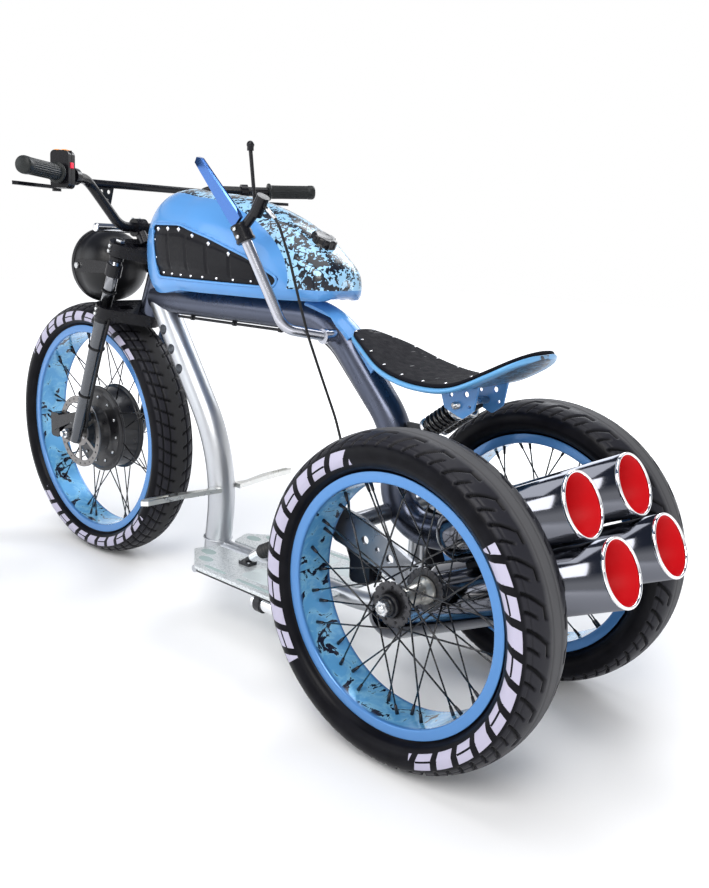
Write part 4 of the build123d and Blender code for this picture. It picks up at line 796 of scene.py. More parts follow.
def tank_skin():
    """Stations by height shares: flank widths mirrored over the top, ends rounded by a quarter circle.

    The belly is raised by 3 mm over the backbone. Where the fork's clamps turn, up to 108 mm along
    the steering axis, the nose is cut back to 35.2 mm behind it.
    """
    nose_full, tail_full = NOSE + NOSE_LONG, TAIL - TAIL_LONG
    curve = np.linspace(0, math.pi / 2, 10)
    back = np.concatenate([NOSE + NOSE_LONG * (1 - np.cos(curve))[:-1],
                           np.linspace(nose_full, tail_full, 150),
                           tail_full + TAIL_LONG * np.sin(curve)[1:]])
    bottom, top, half = flowing(TANK[:, 1:], back, TANK[:, 0]).T
    ends = 0.45 + 0.55 * quarter(nose_full - back, NOSE_LONG) * quarter(back - tail_full, TAIL_LONG)
    ends[[0, -1]] = 0
    low = 0.5 * (bottom + top) - 0.5 * ends * (top - bottom)
    high = 0.5 * (bottom + top) + 0.5 * ends * (top - bottom)
    share = np.concatenate([np.zeros(6), 0.5 - 0.5 * np.cos(np.linspace(0, math.pi, 72))])
    width = np.concatenate([np.linspace(0, 0.80, 6), np.interp(share[6:], FLANK[:, 0], FLANK[:, 1])])
    width[7:-1] = np.convolve(np.pad(width[6:], 2, mode="edge"), np.ones(5) / 5, "valid")[1:-1]
    height = low[:, None] + share * (high - low)[:, None]
    x = (half * ends)[:, None] * width
    place = np.broadcast_to(back[:, None], height.shape)
    x = x - PRESSED_IN * ease(-0.6, 0.9, in_outline(place, height, PANEL)) * (width > 0.5)
    height = np.where((share == 0)[None] & (np.abs(x) < 34), height + 3, height)
    up, ahead = height / 1000 - HEAD[2], REAR_Y + place / 1000 - HEAD[1]
    along = up * math.cos(LEAN) + ahead * math.sin(LEAN)
    behind_axis = ahead * math.cos(LEAN) - up * math.sin(LEAN)
    push = np.where(along < 0.108, np.clip(0.0352 - behind_axis, 0, None), 0) * 1000
    place, height = place + push * math.cos(LEAN), height - push * math.sin(LEAN)
    left, right = np.stack([x, place, height], 2), np.stack([-x, place, height], 2)
    ring = np.concatenate([left, right[:, ::-1][:, 1:-1]], 1)
    ring[..., 1] += REAR_Y * 1000
    return skin("tank_shell", ring / 1000, wrap_cols=True, weld=True)


BLUE = (0.09, 0.275, 0.60)


def tank_paint():
    """Gloss blue. On the top, pale blue under black flecks: two noises of different size are added.

    The top's border lies 0.064 + 0.105 y metres from the middle, so it widens to the rear. It ends
    at a height of 0.722 m.
    """
    paint = shader("tank_blue", BLUE, 0.0, 0.24, Specular_IOR_Level=0.35, Coat_Weight=0.22)
    place = spot_on(paint)
    parts = node(paint, "ShaderNodeSeparateXYZ", [("Vector", place)]).outputs
    sums = partial(reckoned, paint)
    border = sums("ADD", 0.0640, sums("MULTIPLY", parts["Y"], 0.105))
    on_top = sums("GREATER_THAN", sums("SUBTRACT", border, sums("ABSOLUTE", parts["X"])), 0.0)
    on_top = sums("MULTIPLY", on_top, sums("GREATER_THAN", parts["Z"], 0.722))
    fine = speckle(paint, place, Scale=120.0, Detail=1.5, Distortion=0.9)
    broad = speckle(paint, place, Scale=19.0, Detail=5.0, Roughness=0.62, Distortion=0.6)
    flecks = sums("ADD", sums("MULTIPLY", fine, 0.55), sums("MULTIPLY", broad, 0.62))
    top = graded(paint, flecks, [(0.585, (0.30, 0.55, 0.78)), (0.597, (0.006, 0.008, 0.014))])
    feed(paint, "Base Color", between(paint, on_top, BLUE, top))
    return paint


piece("tank_shell", tank_skin(), tank_paint(), "frame", "tank")

# rolled edge round each pressed panel
EDGE_R = 0.0026
plain_blue = shader("plain_blue", BLUE, 0.0, 0.24, Specular_IOR_Level=0.35, Coat_Weight=0.22)
outline = softened(PANEL, 16, 6)
outline = np.concatenate([outline, outline[:1]])
span = np.concatenate([[0], np.cumsum(np.linalg.norm(np.diff(outline, axis=0), axis=1))])
walk = np.linspace(0, span[-1], 360, endpoint=False)
edge_back, edge_high = np.interp(walk, span, outline[:, 0]), np.interp(walk, span, outline[:, 1])
edges = []
for side in (1, -1):
    edge_x = side * (tank_half_width(edge_back, edge_high) - 0.6)
    spine = np.stack([edge_x, edge_back + REAR_Y * 1000, edge_high], 1) / 1000
    along = np.roll(spine, -1, 0) - np.roll(spine, 1, 0)
    along /= np.linalg.norm(along, axis=1)[:, None]
    out = np.array([side, 0.0, 0.0]) - along * (side * along[:, :1])
    out /= np.linalg.norm(out, axis=1)[:, None]
    turn = np.arange(12)[None, :, None] * math.pi / 6
    ring = np.cos(turn) * out[:, None] + np.sin(turn) * np.cross(along, out)[:, None]
    edges.append(skin(f"edge_{side}", spine[:, None] + EDGE_R * ring, wrap_rows=True, wrap_cols=True))
piece("panel_edges", joined("panel_edges", edges), plain_blue, "frame")

# ------------------------------------------------------------------ tank panels
# Black leather stretched over thin board: upright pads with sunk seams. Each side has six small
# pyramid studs along the top edge and ten round rivets along the front and the foot.
PADS, PAD_RISE, SEAM_DEPTH = 5.6, 1.7, 1.0      # pads along the panel, heights in mm
STUDS = [(-780, 822), (-742, 823), (-703, 822), (-654, 811), (-603, 797), (-547, 780)]
RIVETS = [(-752, 734), (-722, 733), (-690, 732.5), (-656, 732), (-620, 732), (-580, 731.5), (-536, 731),
          (-492, 731), (-789, 800), (-778, 764)]
STUD_SHAPE = [(0, 0), (0, 0.0054), (0.0012, 0.0052), (0.0052, 0.0004), (0.0052, 0)]
RIVET_SHAPE = [(0, 0), (0, 0.0029), (0.0012, 0.0028), (0.0023, 0.0018), (0.0027, 0)]
leather = wear(shader("black_leather", (0.006, 0.006, 0.008), 0.0, 0.42, Specular_IOR_Level=0.14),
               160, 0.30, 0.52, bump=0.5, bump_scale=420)
stud_silver = shader("stud_silver", (0.74, 0.74, 0.76), 1.0, 0.16)
share, tall = np.meshgrid(np.linspace(0, 1, 150), np.linspace(0, 1, 50), indexing="ij")
top_back = -806 + share * 378
top_high = np.interp(top_back, [-806, -700, -600, -500, -428], [833, 833, 809, 777, 741])
foot_back, foot_high = -772 + share * 334, 724 - 2 * share
panel_back, panel_high = foot_back + tall * (top_back - foot_back), foot_high + tall * (top_high - foot_high)
from_seam = 1 - np.abs((share * PADS + 0.15) % 1 - 0.5) * 2
pad = ease(0.0, 0.16, from_seam) * ease(0.16, 0.24, tall) * (1 - ease(0.76, 0.84, tall))
seam = np.exp(-((from_seam - 0.07) / 0.035) ** 2) * ease(0.14, 0.2, tall) * (1 - ease(0.8, 0.86, tall))
sheets, studs = [], []
for side in (1, -1):
    x = side * (tank_half_width(panel_back, panel_high) - 4.3 + PAD_RISE * pad - SEAM_DEPTH * seam)
    sheets.append(skin(f"leather_{side}", np.stack([x, panel_back + REAR_Y * 1000, panel_high], 2) / 1000))
    for kind, places, shape, sides in (("stud", STUDS, STUD_SHAPE, 4), ("rivet", RIVETS, RIVET_SHAPE, 14)):
        for number, (back, high) in enumerate(places):
            seat = at(side * (tank_half_width(back, high) - 4.6), back, high)
            studs.append(turned(f"{kind}_{side}_{number}", shape, seat, (side, 0, 0.12), sides))
piece("panel_leather", joined("panel_leather", sheets), leather, "frame", "tank_panels")
piece("panel_studs", joined("panel_studs", studs), stud_silver, "frame", smooth=False)

# ------------------------------------------------------------------ filler cap
# A moulded black cap with six finger notches in a dark plated collar, set into the tank's sloping
# tail. The blue saddle under the tank is bolted down by a pair of tabs.
CAP_SLOPE = math.radians(28)
cap_axis = np.array([0.0, math.sin(CAP_SLOPE), math.cos(CAP_SLOPE)])
cap_seat = at(0, -400, 806)
gun_collar = shader("gun_collar", (0.10, 0.10, 0.11), 1.0, 0.25)
filler_black = shader("filler_black", (0.004, 0.004, 0.005), 0.0, 0.30, Specular_IOR_Level=0.3,
                      Coat_Weight=0.15)


def notched_cap(name, centre, axis):
    """Rings by angle: the radius dips at six finger notches on the upper half, the top edge is rounded."""
    turn = np.linspace(0, 2 * math.pi, 240, endpoint=False)
    off_notch = np.abs((turn * 6 / (2 * math.pi)) % 1 - 0.5) * 2
    dip = 0.0032 * (1 - ease(0.30, 0.62, off_notch))
    # height, radius and how much of the dip each ring takes
    rows = [(-0.004, 0.0, 0), (-0.004, 0.0265, 0), (0.0020, 0.0265, 0), (0.0030, 0.0262, 0.6),
            (0.0050, 0.0262, 1), (0.0125, 0.0256, 1), (0.0150, 0.0240, 1), (0.0160, 0.0218, 1),
            (0.0163, 0.0190, 0.6), (0.0158, 0.0150, 0), (0.0150, 0.0100, 0), (0.0148, 0.0, 0)]
    side = np.array([1.0, 0.0, 0.0])
    ring = np.cos(turn)[:, None] * side + np.sin(turn)[:, None] * np.cross(axis, side)
    rings = [centre + up * axis + (out - part * dip)[:, None] * ring for up, out, part in rows]
    return skin(name, np.stack(rings), wrap_cols=True, weld=True)


piece("filler_cap", notched_cap("filler_cap", cap_seat, cap_axis), filler_black, "frame", "tank_cap")
collar = softened([(-0.0060, 0.0262), (-0.0060, 0.0296), (-0.0008, 0.0296), (0.0006, 0.0286),
                   (0.0008, 0.0268), (0.0, 0.0262)], 0.0006)
piece("filler_collar", turned("filler_collar", collar, cap_seat, cap_axis, 96), gun_collar, "frame")
coated(plain_blue, "tank_saddle")
tab_bolts = [(at(18 * side, -384, 706.5), (0.3 * side, 0, 1), 0.0052, 0.004) for side in (1, -1)]
piece("tank_tab_bolts", hexagons("tank_tab_bolts", tab_bolts), plated, "frame", smooth=False)

# ------------------------------------------------------------------ seat
# A bent steel pan with both ends kicked up, blue with a plain dark hatch below. A thin black leather
# pad is riveted along each side.
# the pan's middle, behind the axle and up (mm), then its outline, behind the axle and half width
SEAT = np.array([(-296, 649.5), (-240, 630), (-160, 598), (-90, 586), (-20, 592), (40, 620), (92, 652)],
                float)
PLAN = np.array([(-296, 0), (-295.3, 16), (-292, 29), (-286, 37), (-276, 44), (-250, 59), (-220, 75),
                 (-190, 88), (-160, 94.5), (-120, 98), (-60, 99), (5, 98), (40, 93), (62, 83), (77, 68),
                 (86, 49), (90.5, 27), (92, 0)], float)
SEAT_FRONT, SEAT_REAR, SEAT_HALF, EDGE_ROUND = -296, 92, 98, 5.0


def seat_sheet(name, low, high, inset, crown):
    """A closed sheet over the seat's profile: rounded edges, its top crowned across the middle."""
    walk = np.concatenate([[0], np.cumsum(np.linalg.norm(np.diff(PLAN, axis=0), axis=1))])
    path = np.linspace(0, walk[-1], 150)
    back, half = np.interp(path, walk, PLAN[:, 0]), np.interp(path, walk, PLAN[:, 1])
    back = np.convolve(np.pad(back, 3, mode="edge"), np.ones(7) / 7, "valid")
    half = np.convolve(np.pad(half, 3, mode="reflect", reflect_type="odd"), np.ones(7) / 7, "valid")
    half = np.clip(half, 0, None)
    half[[0, -1]] = 0
    full = SEAT_REAR - SEAT_FRONT
    middle_back = 0.5 * (SEAT_FRONT + SEAT_REAR)
    back = (back - middle_back) * (full - 2 * inset) / full + middle_back
    half = half * (SEAT_HALF - inset) / SEAT_HALF
    across = np.sin(np.linspace(-math.pi / 2, math.pi / 2, 40))
    middle = flowing(SEAT[:, 1], back, SEAT[:, 0])[:, None]
    # how far each point is from the outline, for the rounded edge
    from_end = 1.2 * np.minimum(back - SEAT_FRONT - inset, SEAT_REAR - inset - back)[:, None]
    edge = np.minimum(half[:, None] * (1 - np.abs(across)), from_end)
    swell = np.sqrt(np.clip(1 - (1 - np.clip(edge / EDGE_ROUND, 0, 1)) ** 2, 0, 1))
    centre = 0.5 * (low + high)
    upper = middle + centre + (high - centre) * swell + crown * (1 - across ** 2)
    lower = middle + centre + (low - centre) * swell
    x = half[:, None] * across
    place = np.broadcast_to(back[:, None], x.shape) + REAR_Y * 1000
    top, foot = np.stack([x, place, upper], 2), np.stack([x, place, lower], 2)
    return skin(name, np.concatenate([top, foot[:, ::-1][:, 1:-1]], 1) / 1000, wrap_cols=True, weld=True)


def stretched(material, **settings):
    """The place on a piece, moved, turned or scaled before a noise or a distance reads it."""
    return node(material, "ShaderNodeMapping", [("Vector", spot_on(material))], **settings).outputs["Vector"]


def pan_paint():
    """Mid blue. An oval under the tail carries a dark hatch made from stretched noise."""
    paint = shader("pan_blue", (0.12, 0.33, 0.62), 0.1, 0.3, Specular_IOR_Level=0.3, Coat_Weight=0.15)
    oval_place = stretched(paint, Location=(0, -(REAR_Y + 0.032) * 13.5, 0), Scale=(12.5, 13.5, 0))
    off_oval = node(paint, "ShaderNodeVectorMath", [(0, oval_place)], operation="LENGTH").outputs["Value"]
    oval = reckoned(paint, "LESS_THAN", off_oval, 0.82)
    lines = speckle(paint, stretched(paint, Scale=(30, 150, 30)), Scale=1.6, Detail=3.0, Distortion=1.6)
    hatch = graded(paint, lines, [(0.46, (0.10, 0.26, 0.46)), (0.52, (0.010, 0.018, 0.035))])
    feed(paint, "Base Color", between(paint, oval, (0.115, 0.33, 0.60), hatch))
    return paint


def worn_leather():
    """Black leather with a fine grain and short pale scuffs from strongly stretched noise."""
    hide = shader("seat_leather", (0.014, 0.014, 0.017), 0.0, 0.7, Specular_IOR_Level=0.05)
    wear(hide, 90, 0.62, 0.78, bump=0.55, bump_scale=700)
    lines = speckle(hide, stretched(hide, Scale=(34, 240, 10), Rotation=(0, 0, 0.35)), Scale=1.0, Detail=2.0)
    areas = speckle(hide, spot_on(hide), Scale=13.0, Detail=1.0)
    scuffs = reckoned(hide, "MULTIPLY", lines, areas)
    scuffed = graded(hide, scuffs, [(0.455, (0.008, 0.008, 0.011)), (0.490, (0.22, 0.22, 0.23))])
    feed(hide, "Base Color", scuffed)
    return hide


piece("seat_sheet", seat_sheet("seat_sheet", -9.0, 0.2, 0, 0), pan_paint(), "frame", "seat_pan")
seat_cover = piece("seat_cover", seat_sheet("seat_cover", 0.0, 7.0, 4, 1.6), worn_leather(),
                   "frame", "seat_pad")
RIVET_DOME = [(0, 0), (0, 0.0034), (0.0010, 0.0031), (0.0018, 0.0018), (0.0020, 0)]
rivet_back = np.array([-284, -252, -214, -172, -128, -82, -36, 12], float)
rivet_half = np.clip(np.interp(rivet_back, PLAN[:, 0], PLAN[:, 1]) * 0.96 - 11, 8, None)
rivet_high = flowing(SEAT[:, 1], rivet_back, SEAT[:, 0]) + 7.2
rivets = [turned(f"seat_rivet_{side}_{back:.0f}", RIVET_DOME, at(side * half, back, high), (0, 0, 1), 14)
          for side in (1, -1) for half, back, high in zip(rivet_half, rivet_back, rivet_high)]
piece("seat_rivets", joined("seat_rivets", rivets), stud_silver, "frame")

# ------------------------------------------------------------------ seat springs and brackets
# Twin coil springs of black wire round dark dampers, with a silver cap at each end. They stand
# between the upright and a cross pin in two blue plates under the seat. All the pins are plated.
COIL_R, WIRE_R, COIL_TURNS = 0.0160, 0.0036, 6
CAP_DISC = [(0, 0.0105), (0, 0.0188), (0.0012, 0.0192), (0.0052, 0.0192), (0.0064, 0.0186), (0.0066, 0.0105)]


def tube(name, path, radius, sides):
    """A round skin carried along a path of points: rings square to it, closed at both ends."""
    path = np.array(path, float)
    along = np.gradient(path, axis=0)
    along /= np.linalg.norm(along, axis=1)[:, None]
    side = np.zeros_like(along)
    last = np.cross(along[0], (0.0, 0.0, 1.0) if abs(along[0][2]) < 0.9 else (0.0, 1.0, 0.0))
    for step, way in enumerate(along):
        last = last - way * (last @ way)
        last /= np.linalg.norm(last)
        side[step] = last
    turn = np.arange(sides)[None, :, None] * 2 * math.pi / sides
    ring = np.cos(turn) * side[:, None] + np.sin(turn) * np.cross(along, side)[:, None]
    ends = np.repeat(path[[0, -1]][:, None], sides, 1)
    return skin(name, np.concatenate([ends[:1], path[:, None] + radius * ring, ends[1:]]),
                wrap_cols=True, weld=True)


spring_black = shader("spring_black", (0.006, 0.006, 0.007), 0.0, 0.16, Coat_Weight=0.3, Coat_Roughness=0.05)
coils, caps = [], []
for side in (1, -1):
    low, high = at(21 * side, -128, 488), at(21 * side, -36, 556)
    full = np.linalg.norm(high - low)
    line = (high - low) / full
    over = np.array([1.0, 0, 0])
    turn = np.linspace(0, COIL_TURNS * 2 * math.pi, 420)[:, None]
    climb = np.linspace(0, 1, 420)[:, None] * (full - 0.0566) * line
    helix = low + line * 0.0268 + climb + COIL_R * (np.cos(turn) * over + np.sin(turn) * np.cross(line, over))
    coils.append(tube(f"coil_{side}", helix, WIRE_R, 12))
    caps.append(turned(f"top_cap_{side}", CAP_DISC, high - line * 0.0274, line, 48))
    caps.append(turned(f"low_cap_{side}", CAP_DISC, low + line * 0.0196, line, 48))
piece("seat_coils", joined("seat_coils", coils), spring_black, "frame", "seat_springs")
piece("spring_caps", joined("spring_caps", caps), plated, "frame")
coated(dark_plate, "seat_shocks")
coated(plain_blue, "seat_bracket", "seat_hinge")
pin_ends = [(55, -36, 556), (24, -268, 616), (34, -128, 488)]
pins = rods("seat_pins", [at(-left, back, high) for left, back, high in pin_ends],
            [at(left, back, high) for left, back, high in pin_ends], 0.0062, 0.0062, 24)
piece("seat_pins", pins, plated, "frame")

# ------------------------------------------------------------------ footboards, pegs and strut
# Thin bright boards with turned-down edges and pale grit ovals, forged aluminium pegs on the down
# tube, and a small pedal strut with a ribbed dark boot on the left board.
BOARD_TOP, GRIT_RISE, OVAL_RISE = 137, 0.35, 0.4     # mm
# left, behind the axle, half width, half length (mm) and how square the patch is
OVALS = [(98, -622, 11, 20, 2.2), (66, -652, 12, 20, 2.2), (124, -560, 5, 34, 3), (126, -420, 5, 70, 3.5)]
FIELDS = [(78, -350, 30, 44, 6), (78, -460, 30, 44, 6), (-78, -350, 30, 44, 6), (-78, -460, 30, 44, 6),
          (-78, -560, 30, 40, 6)]


def board_metal():
    """Brushed pale metal with a fine grey speckle."""
    metal = shader("board_metal", (0.74, 0.77, 0.78), 0.55, 0.32)
    grit = speckle(metal, spot_on(metal), Scale=420.0, Detail=2.0)
    feed(metal, "Base Color", graded(metal, grit, [(0.40, (0.52, 0.56, 0.57)), (0.56, (0.80, 0.83, 0.84))]))
    return metal


def patches(name, places, height):
    """Flat raised patches: superellipse outlines, x = half cos t ^ (2 / power) and so for y with sin t."""
    sides, bevel = 40, 0.4
    turn = np.linspace(0, 2 * math.pi, sides, endpoint=False)
    c, s = np.cos(turn), np.sin(turn)
    points, faces = [], []
    near = np.arange(sides)
    far = (near + 1) % sides
    for number, (left, back, half_x, half_y, power) in enumerate(places):
        edge_x = left + half_x * np.sign(c) * np.abs(c) ** (2 / power)
        edge_y = back + half_y * np.sign(s) * np.abs(s) ** (2 / power)
        for lift, shrink in ((0.0, 0.0), (height, bevel)):
            points.append(np.stack([edge_x - shrink * np.sign(edge_x - left),
                                    edge_y + REAR_Y * 1000 - shrink * np.sign(edge_y - back),
                                    np.full(sides, BOARD_TOP + lift)], 1))
        foot, top = 2 * sides * number, 2 * sides * number + sides
        faces.append((top + near).tolist())
        faces += np.stack([foot + near, foot + far, top + far, top + near], 1).tolist()
    mesh = bpy.data.meshes.new(name)
    mesh.from_pydata((np.concatenate(points) / 1000).tolist(), [], faces)
    return mesh


aluminium = wear(shader("forged_aluminium", (0.78, 0.78, 0.75), 1.0, 0.3), 80, 0.22, 0.40)
grit_green = shader("grit_green", (0.36, 0.45, 0.44), 0.1, 0.7)
grit_pale = wear(shader("grit_pale", (0.60, 0.66, 0.66), 0.2, 0.8), 300, 0.6, 0.9, bump=0.8, bump_scale=600)
coated(board_metal(), "footboards")
coated(aluminium, "foot_pegs")
coated(bright_chrome, "canister")
coated(dark_plate, "canister_straps", "pedal_strut")
ovals = [(side * left, *rest) for side in (1, -1) for left, *rest in OVALS]
piece("board_ovals", patches("board_ovals", ovals, OVAL_RISE), grit_green, "frame", smooth=False)
piece("board_grit", patches("board_grit", FIELDS, GRIT_RISE), grit_pale, "frame", smooth=False)
# painted shade: a dark rod along each folded edge, where the turned-down face falls into shade
fold_shade_line = rods("board_edges", [at(side * 142.2, -598, 128) for side in (1, -1)],
                 [at(side * 142.2, -304, 128) for side in (1, -1)], 0.0016, 0.0016)
piece("board_edges", fold_shade_line, dark_plate, "frame")

# the strut: a bright barrel, then a boot with a rib every 8 mm, on a foot with four bolts
BOOT_START, BOOT_LONG, BOOT_RIB = 0.0535, 0.040, 0.008
BARREL = [(0.018, 0.0070), (0.018, 0.0108), (0.021, 0.0116), (0.048, 0.0116), (0.051, 0.0108),
          (0.053, 0.0070)]
bare_rubber = shader("bare_rubber", (0.016, 0.016, 0.017), 0, 0.55)
strut_low, strut_high = at(52, -540, 145), at(52, -462, 199)
strut_line = (strut_high - strut_low) / np.linalg.norm(strut_high - strut_low)
piece("strut_barrel", turned("strut_barrel", softened(BARREL, 0.001), strut_low, strut_line, 48),
      bright_chrome, "frame")
along = np.linspace(0, BOOT_LONG, 61)
boot_r = 0.0144 - 0.0045 * along / BOOT_LONG - 0.0016 * np.cos(along * 2 * math.pi / BOOT_RIB)
boot = np.concatenate([[(BOOT_START, 0.007)], np.stack([BOOT_START + along, boot_r], 1),
                       [(BOOT_START + BOOT_LONG, 0.007)]])
piece("strut_boot", turned("strut_boot", boot, strut_low, strut_line, 48), bare_rubber, "frame")
strut_bolts = [(at(left, back, 143.2), (0, 0, 1), 0.0036, 0.0026)
               for left in (44, 60) for back in (-552, -528)]
piece("strut_bolts", hexagons("strut_bolts", strut_bolts), plated, "frame", smooth=False)

# ------------------------------------------------------------------ hand lever and cables
# A bent silver tube that rises past the tank to a black two-screw clamp and a polished blue blade.
# A thin ball lever stands beside it, and its cable runs down to the rear brake.
CLAMP_RING = [(0, 0.0172), (0, 0.0182), (0.0042, 0.0182), (0.0042, 0.0172)]
BALL_R, BALL_ROD_R = 0.0070, 0.0034


def route(points, count):
    """Points spread evenly over a smooth path through a few given ones."""
    points = np.array(points, float)
    knots = np.concatenate([[0], np.cumsum(np.linalg.norm(np.diff(points, axis=0), axis=1))])
    return flowing(points, np.linspace(0, knots[-1], count), knots)


lever_silver = wear(shader("lever_silver", (0.46, 0.47, 0.52), 1.0, 0.2), 30, 0.16, 0.28)
blade_blue = wear(shader("blade_blue", (0.09, 0.22, 0.60), 0.9, 0.12, Coat_Weight=0.3, Coat_Roughness=0.03),
                  25, 0.05, 0.16)
gloss_black = wear(shader("gloss_black", (0.005, 0.005, 0.007), 0.0, 0.24, Specular_IOR_Level=0.22,
                          Coat_Weight=0.1), 60, 0.18, 0.32)
hose_black = shader("hose_black", (0.006, 0.006, 0.007), 0.0, 0.38, Specular_IOR_Level=0.25)
coated(lever_silver, "hand_lever")
coated(blade_blue, "lever_blade")
coated(gloss_black, "lever_clamp")
coated(hose_black, "brake_cable", "wiring", "fork_hoses")
top, elbow = at(150, -459, 824), at(112, -384, 652)
lever_way = (top - elbow) / np.linalg.norm(top - elbow)
clamp_ring = softened(CLAMP_RING, 0.0006)
clamp_rings = [turned(f"clamp_ring_{number}", clamp_ring, top + lever_way * reach, lever_way, 64)
               for number, reach in enumerate((-0.0205, 0.0065))]
piece("clamp_rings", joined("clamp_rings", clamp_rings), gloss_black, "frame")
screws = np.array([top + lever_way * reach + np.array([0.0175, 0.003, 0.0]) for reach in (-0.013, 0.002)])
piece("clamp_screws", rods("clamp_screws", screws, screws + np.array([0.004, 0, 0]), 0.0038, 0.0034, 18),
      plated, "frame")
ball_low, ball_high = at(140, -436, 872), at(140, -450, 968)
turn = np.linspace(0, math.pi, 14)
ball = np.stack([BALL_R - BALL_R * np.cos(turn), BALL_R * np.sin(turn)], 1)
ball_parts = [tube("ball_rod", route([ball_low, at(140, -441, 905), ball_high], 30), BALL_ROD_R, 16),
              turned("ball_knob", ball, ball_high - np.array([0, 0, 0.003]), (0, 0, 1), 24)]
piece("ball_lever", joined("ball_lever", ball_parts), gloss_black, "frame")
# plated ferrules where the cable meets the perch and the caliper
piece("cable_ferrules",
      rods("cable_ferrules", [at(138.5, -418, 870.5), at(119, -187.3, 262)],
           [at(132.5, -390, 846.5), at(119, -187.0, 250)], 0.0036, 0.0036, 16), plated, "frame")

# ------------------------------------------------------------------ fork
# Raked telescopic fork: black forged clamps with pinch bolts, gun-metal upper tubes, dark tapered
# lowers with a seal collar, and hoses tied to the legs.
LEG_LEFT, LEG_AHEAD = 95, 40        # of the steering axis, mm
LOWER_LEG = [(0.0, 0.0060), (0.0, 0.0122), (0.010, 0.0132), (0.060, 0.0140), (0.300, 0.0168), (0.318, 0.0176),
             (0.334, 0.0176), (0.336, 0.0168), (0.342, 0.0168), (0.342, 0.0060)]
SEAL = [(0.3415, 0.0134), (0.3415, 0.0196), (0.3440, 0.0203), (0.3470, 0.0203), (0.3490, 0.0190),
        (0.3520, 0.0150), (0.3520, 0.0134)]
UPPER_TUBE = [(0.0, 0.0), (0.0, 0.0133), (0.124, 0.0133), (0.124, 0.0)]
# up along the axis from the head's middle (mm), and the leg's radius there
TIES = [(-30, 0.0133)] + [(up, 0.0170 - 0.0028 * (-up - 138) / 240) for up in (-175, -305)]


def steered(left, ahead, up):
    """A point from the head's middle, in mm: left, ahead of and up along the leaning steering axis."""
    return HEAD + np.array([left, -ahead * math.cos(LEAN) + up * math.sin(LEAN),
                            ahead * math.sin(LEAN) + up * math.cos(LEAN)]) / 1000


axis_up = np.array([0.0, math.sin(LEAN), math.cos(LEAN)])
gun_metal = wear(shader("gun_metal", (0.24, 0.245, 0.26), 1.0, 0.20), 40, 0.14, 0.26)
lower_grey = wear(shader("lower_grey", (0.11, 0.115, 0.125), 0.9, 0.3), 45, 0.18, 0.30)
coated(gloss_black, "fork_yoke", "fork_legs", "lamp_arms", "bar_clamps", "handlebar", "lever_perches",
       "front_caliper")
uppers, lowers, seals, ties = [], [], [], []
for side in (1, -1):
    foot = steered(LEG_LEFT * side, LEG_AHEAD, -438)
    lowers.append(turned(f"lower_{side}", softened(LOWER_LEG, 0.0012), foot, axis_up, 48))
    seals.append(turned(f"seal_{side}", softened(SEAL, 0.0007), foot, axis_up, 48))
    uppers.append(turned(f"upper_{side}", UPPER_TUBE, steered(LEG_LEFT * side, LEG_AHEAD, -62), axis_up, 48))
    for up, leg_r in TIES:
        band = [(0, leg_r), (0, leg_r + 0.0030), (0.0040, leg_r + 0.0030), (0.0040, leg_r)]
        seat = steered(LEG_LEFT * side, LEG_AHEAD, up)
        ties.append(turned(f"tie_{side}_{-up}", softened(band, 0.0008), seat, axis_up, 48))
piece("fork_lowers", joined("fork_lowers", lowers), lower_grey, "steering")
piece("fork_uppers", joined("fork_uppers", uppers), gun_metal, "steering")
piece("fork_seals", joined("fork_seals", seals), cap_black, "steering")
piece("fork_ties", joined("fork_ties", ties), hose_black, "steering")
# pinch bolts at the outer ends of both clamps, leg caps and the stem nut
fork_heads = []
for side in (1, -1):
    fork_heads += [(steered(117 * side, LEG_AHEAD, up), (side, 0, 0), 0.0042, 0.004)
                   for up in (-83, -71, 71, 83)]
    fork_heads.append((steered(LEG_LEFT * side, LEG_AHEAD, 94), axis_up, 0.0105, 0.0045))
fork_heads.append((steered(0, 0, 101), axis_up, 0.017, 0.008))
piece("fork_bolts", hexagons("fork_bolts", fork_heads), plated, "steering", smooth=False)
caliper_bolts = front_hub + np.array([(0.0830, -0.084, 0.006 + lift) for lift in (-0.018, 0.018)])
piece("caliper_bolts",
      rods("caliper_bolts", caliper_bolts, caliper_bolts + np.array([0.0035, 0, 0]), 0.0048, 0.0042, 20),
      plated, "steering")

# ------------------------------------------------------------------ handlebar and controls
# A wide black bar with a straight brace and drilled gussets, fluted rubber grips, black levers and
# a switch pod whose plain buttons are orange and red.
bar_in, bar_out = HEAD + np.array([0.262, 0.057, 0.230]), HEAD + np.array([0.380, 0.121, 0.236])
bar_length = np.linalg.norm(bar_out - bar_in)
bar_way = (bar_out - bar_in) / bar_length


def fluted_grip(name, start, way, length):
    """Rings along the grip: a plain collar, fine lengthwise flutes, and a swollen closed end."""
    turn = np.linspace(0, 2 * math.pi, 192, endpoint=False)
    flute = 0.00055 * np.cos(24 * turn)
    # along, radius, fluted or plain
    rows = [(0.0, 0.0112, 0), (0.0, 0.0196, 0), (0.0012, 0.0202, 0), (0.0040, 0.0202, 0), (0.0052, 0.0194, 0),
            (0.0060, 0.0160, 0), (0.0075, 0.0156, 0), (0.0100, 0.0156, 1), (0.035, 0.0153, 1),
            (length - 0.020, 0.0154, 1), (length - 0.017, 0.0158, 0), (length - 0.015, 0.0166, 0),
            (length - 0.006, 0.0168, 0), (length - 0.002, 0.0160, 0), (length, 0.0138, 0), (length, 0.0, 0)]
    side = np.cross(way, (0.0, 0.0, 1.0))
    side /= np.linalg.norm(side)
    ring = np.cos(turn)[:, None] * side + np.sin(turn)[:, None] * np.cross(way, side)
    rings = [start + along * way + (out + fluted * flute)[:, None] * ring for along, out, fluted in rows]
    return skin(name, np.stack(rings), wrap_cols=True, weld=True)


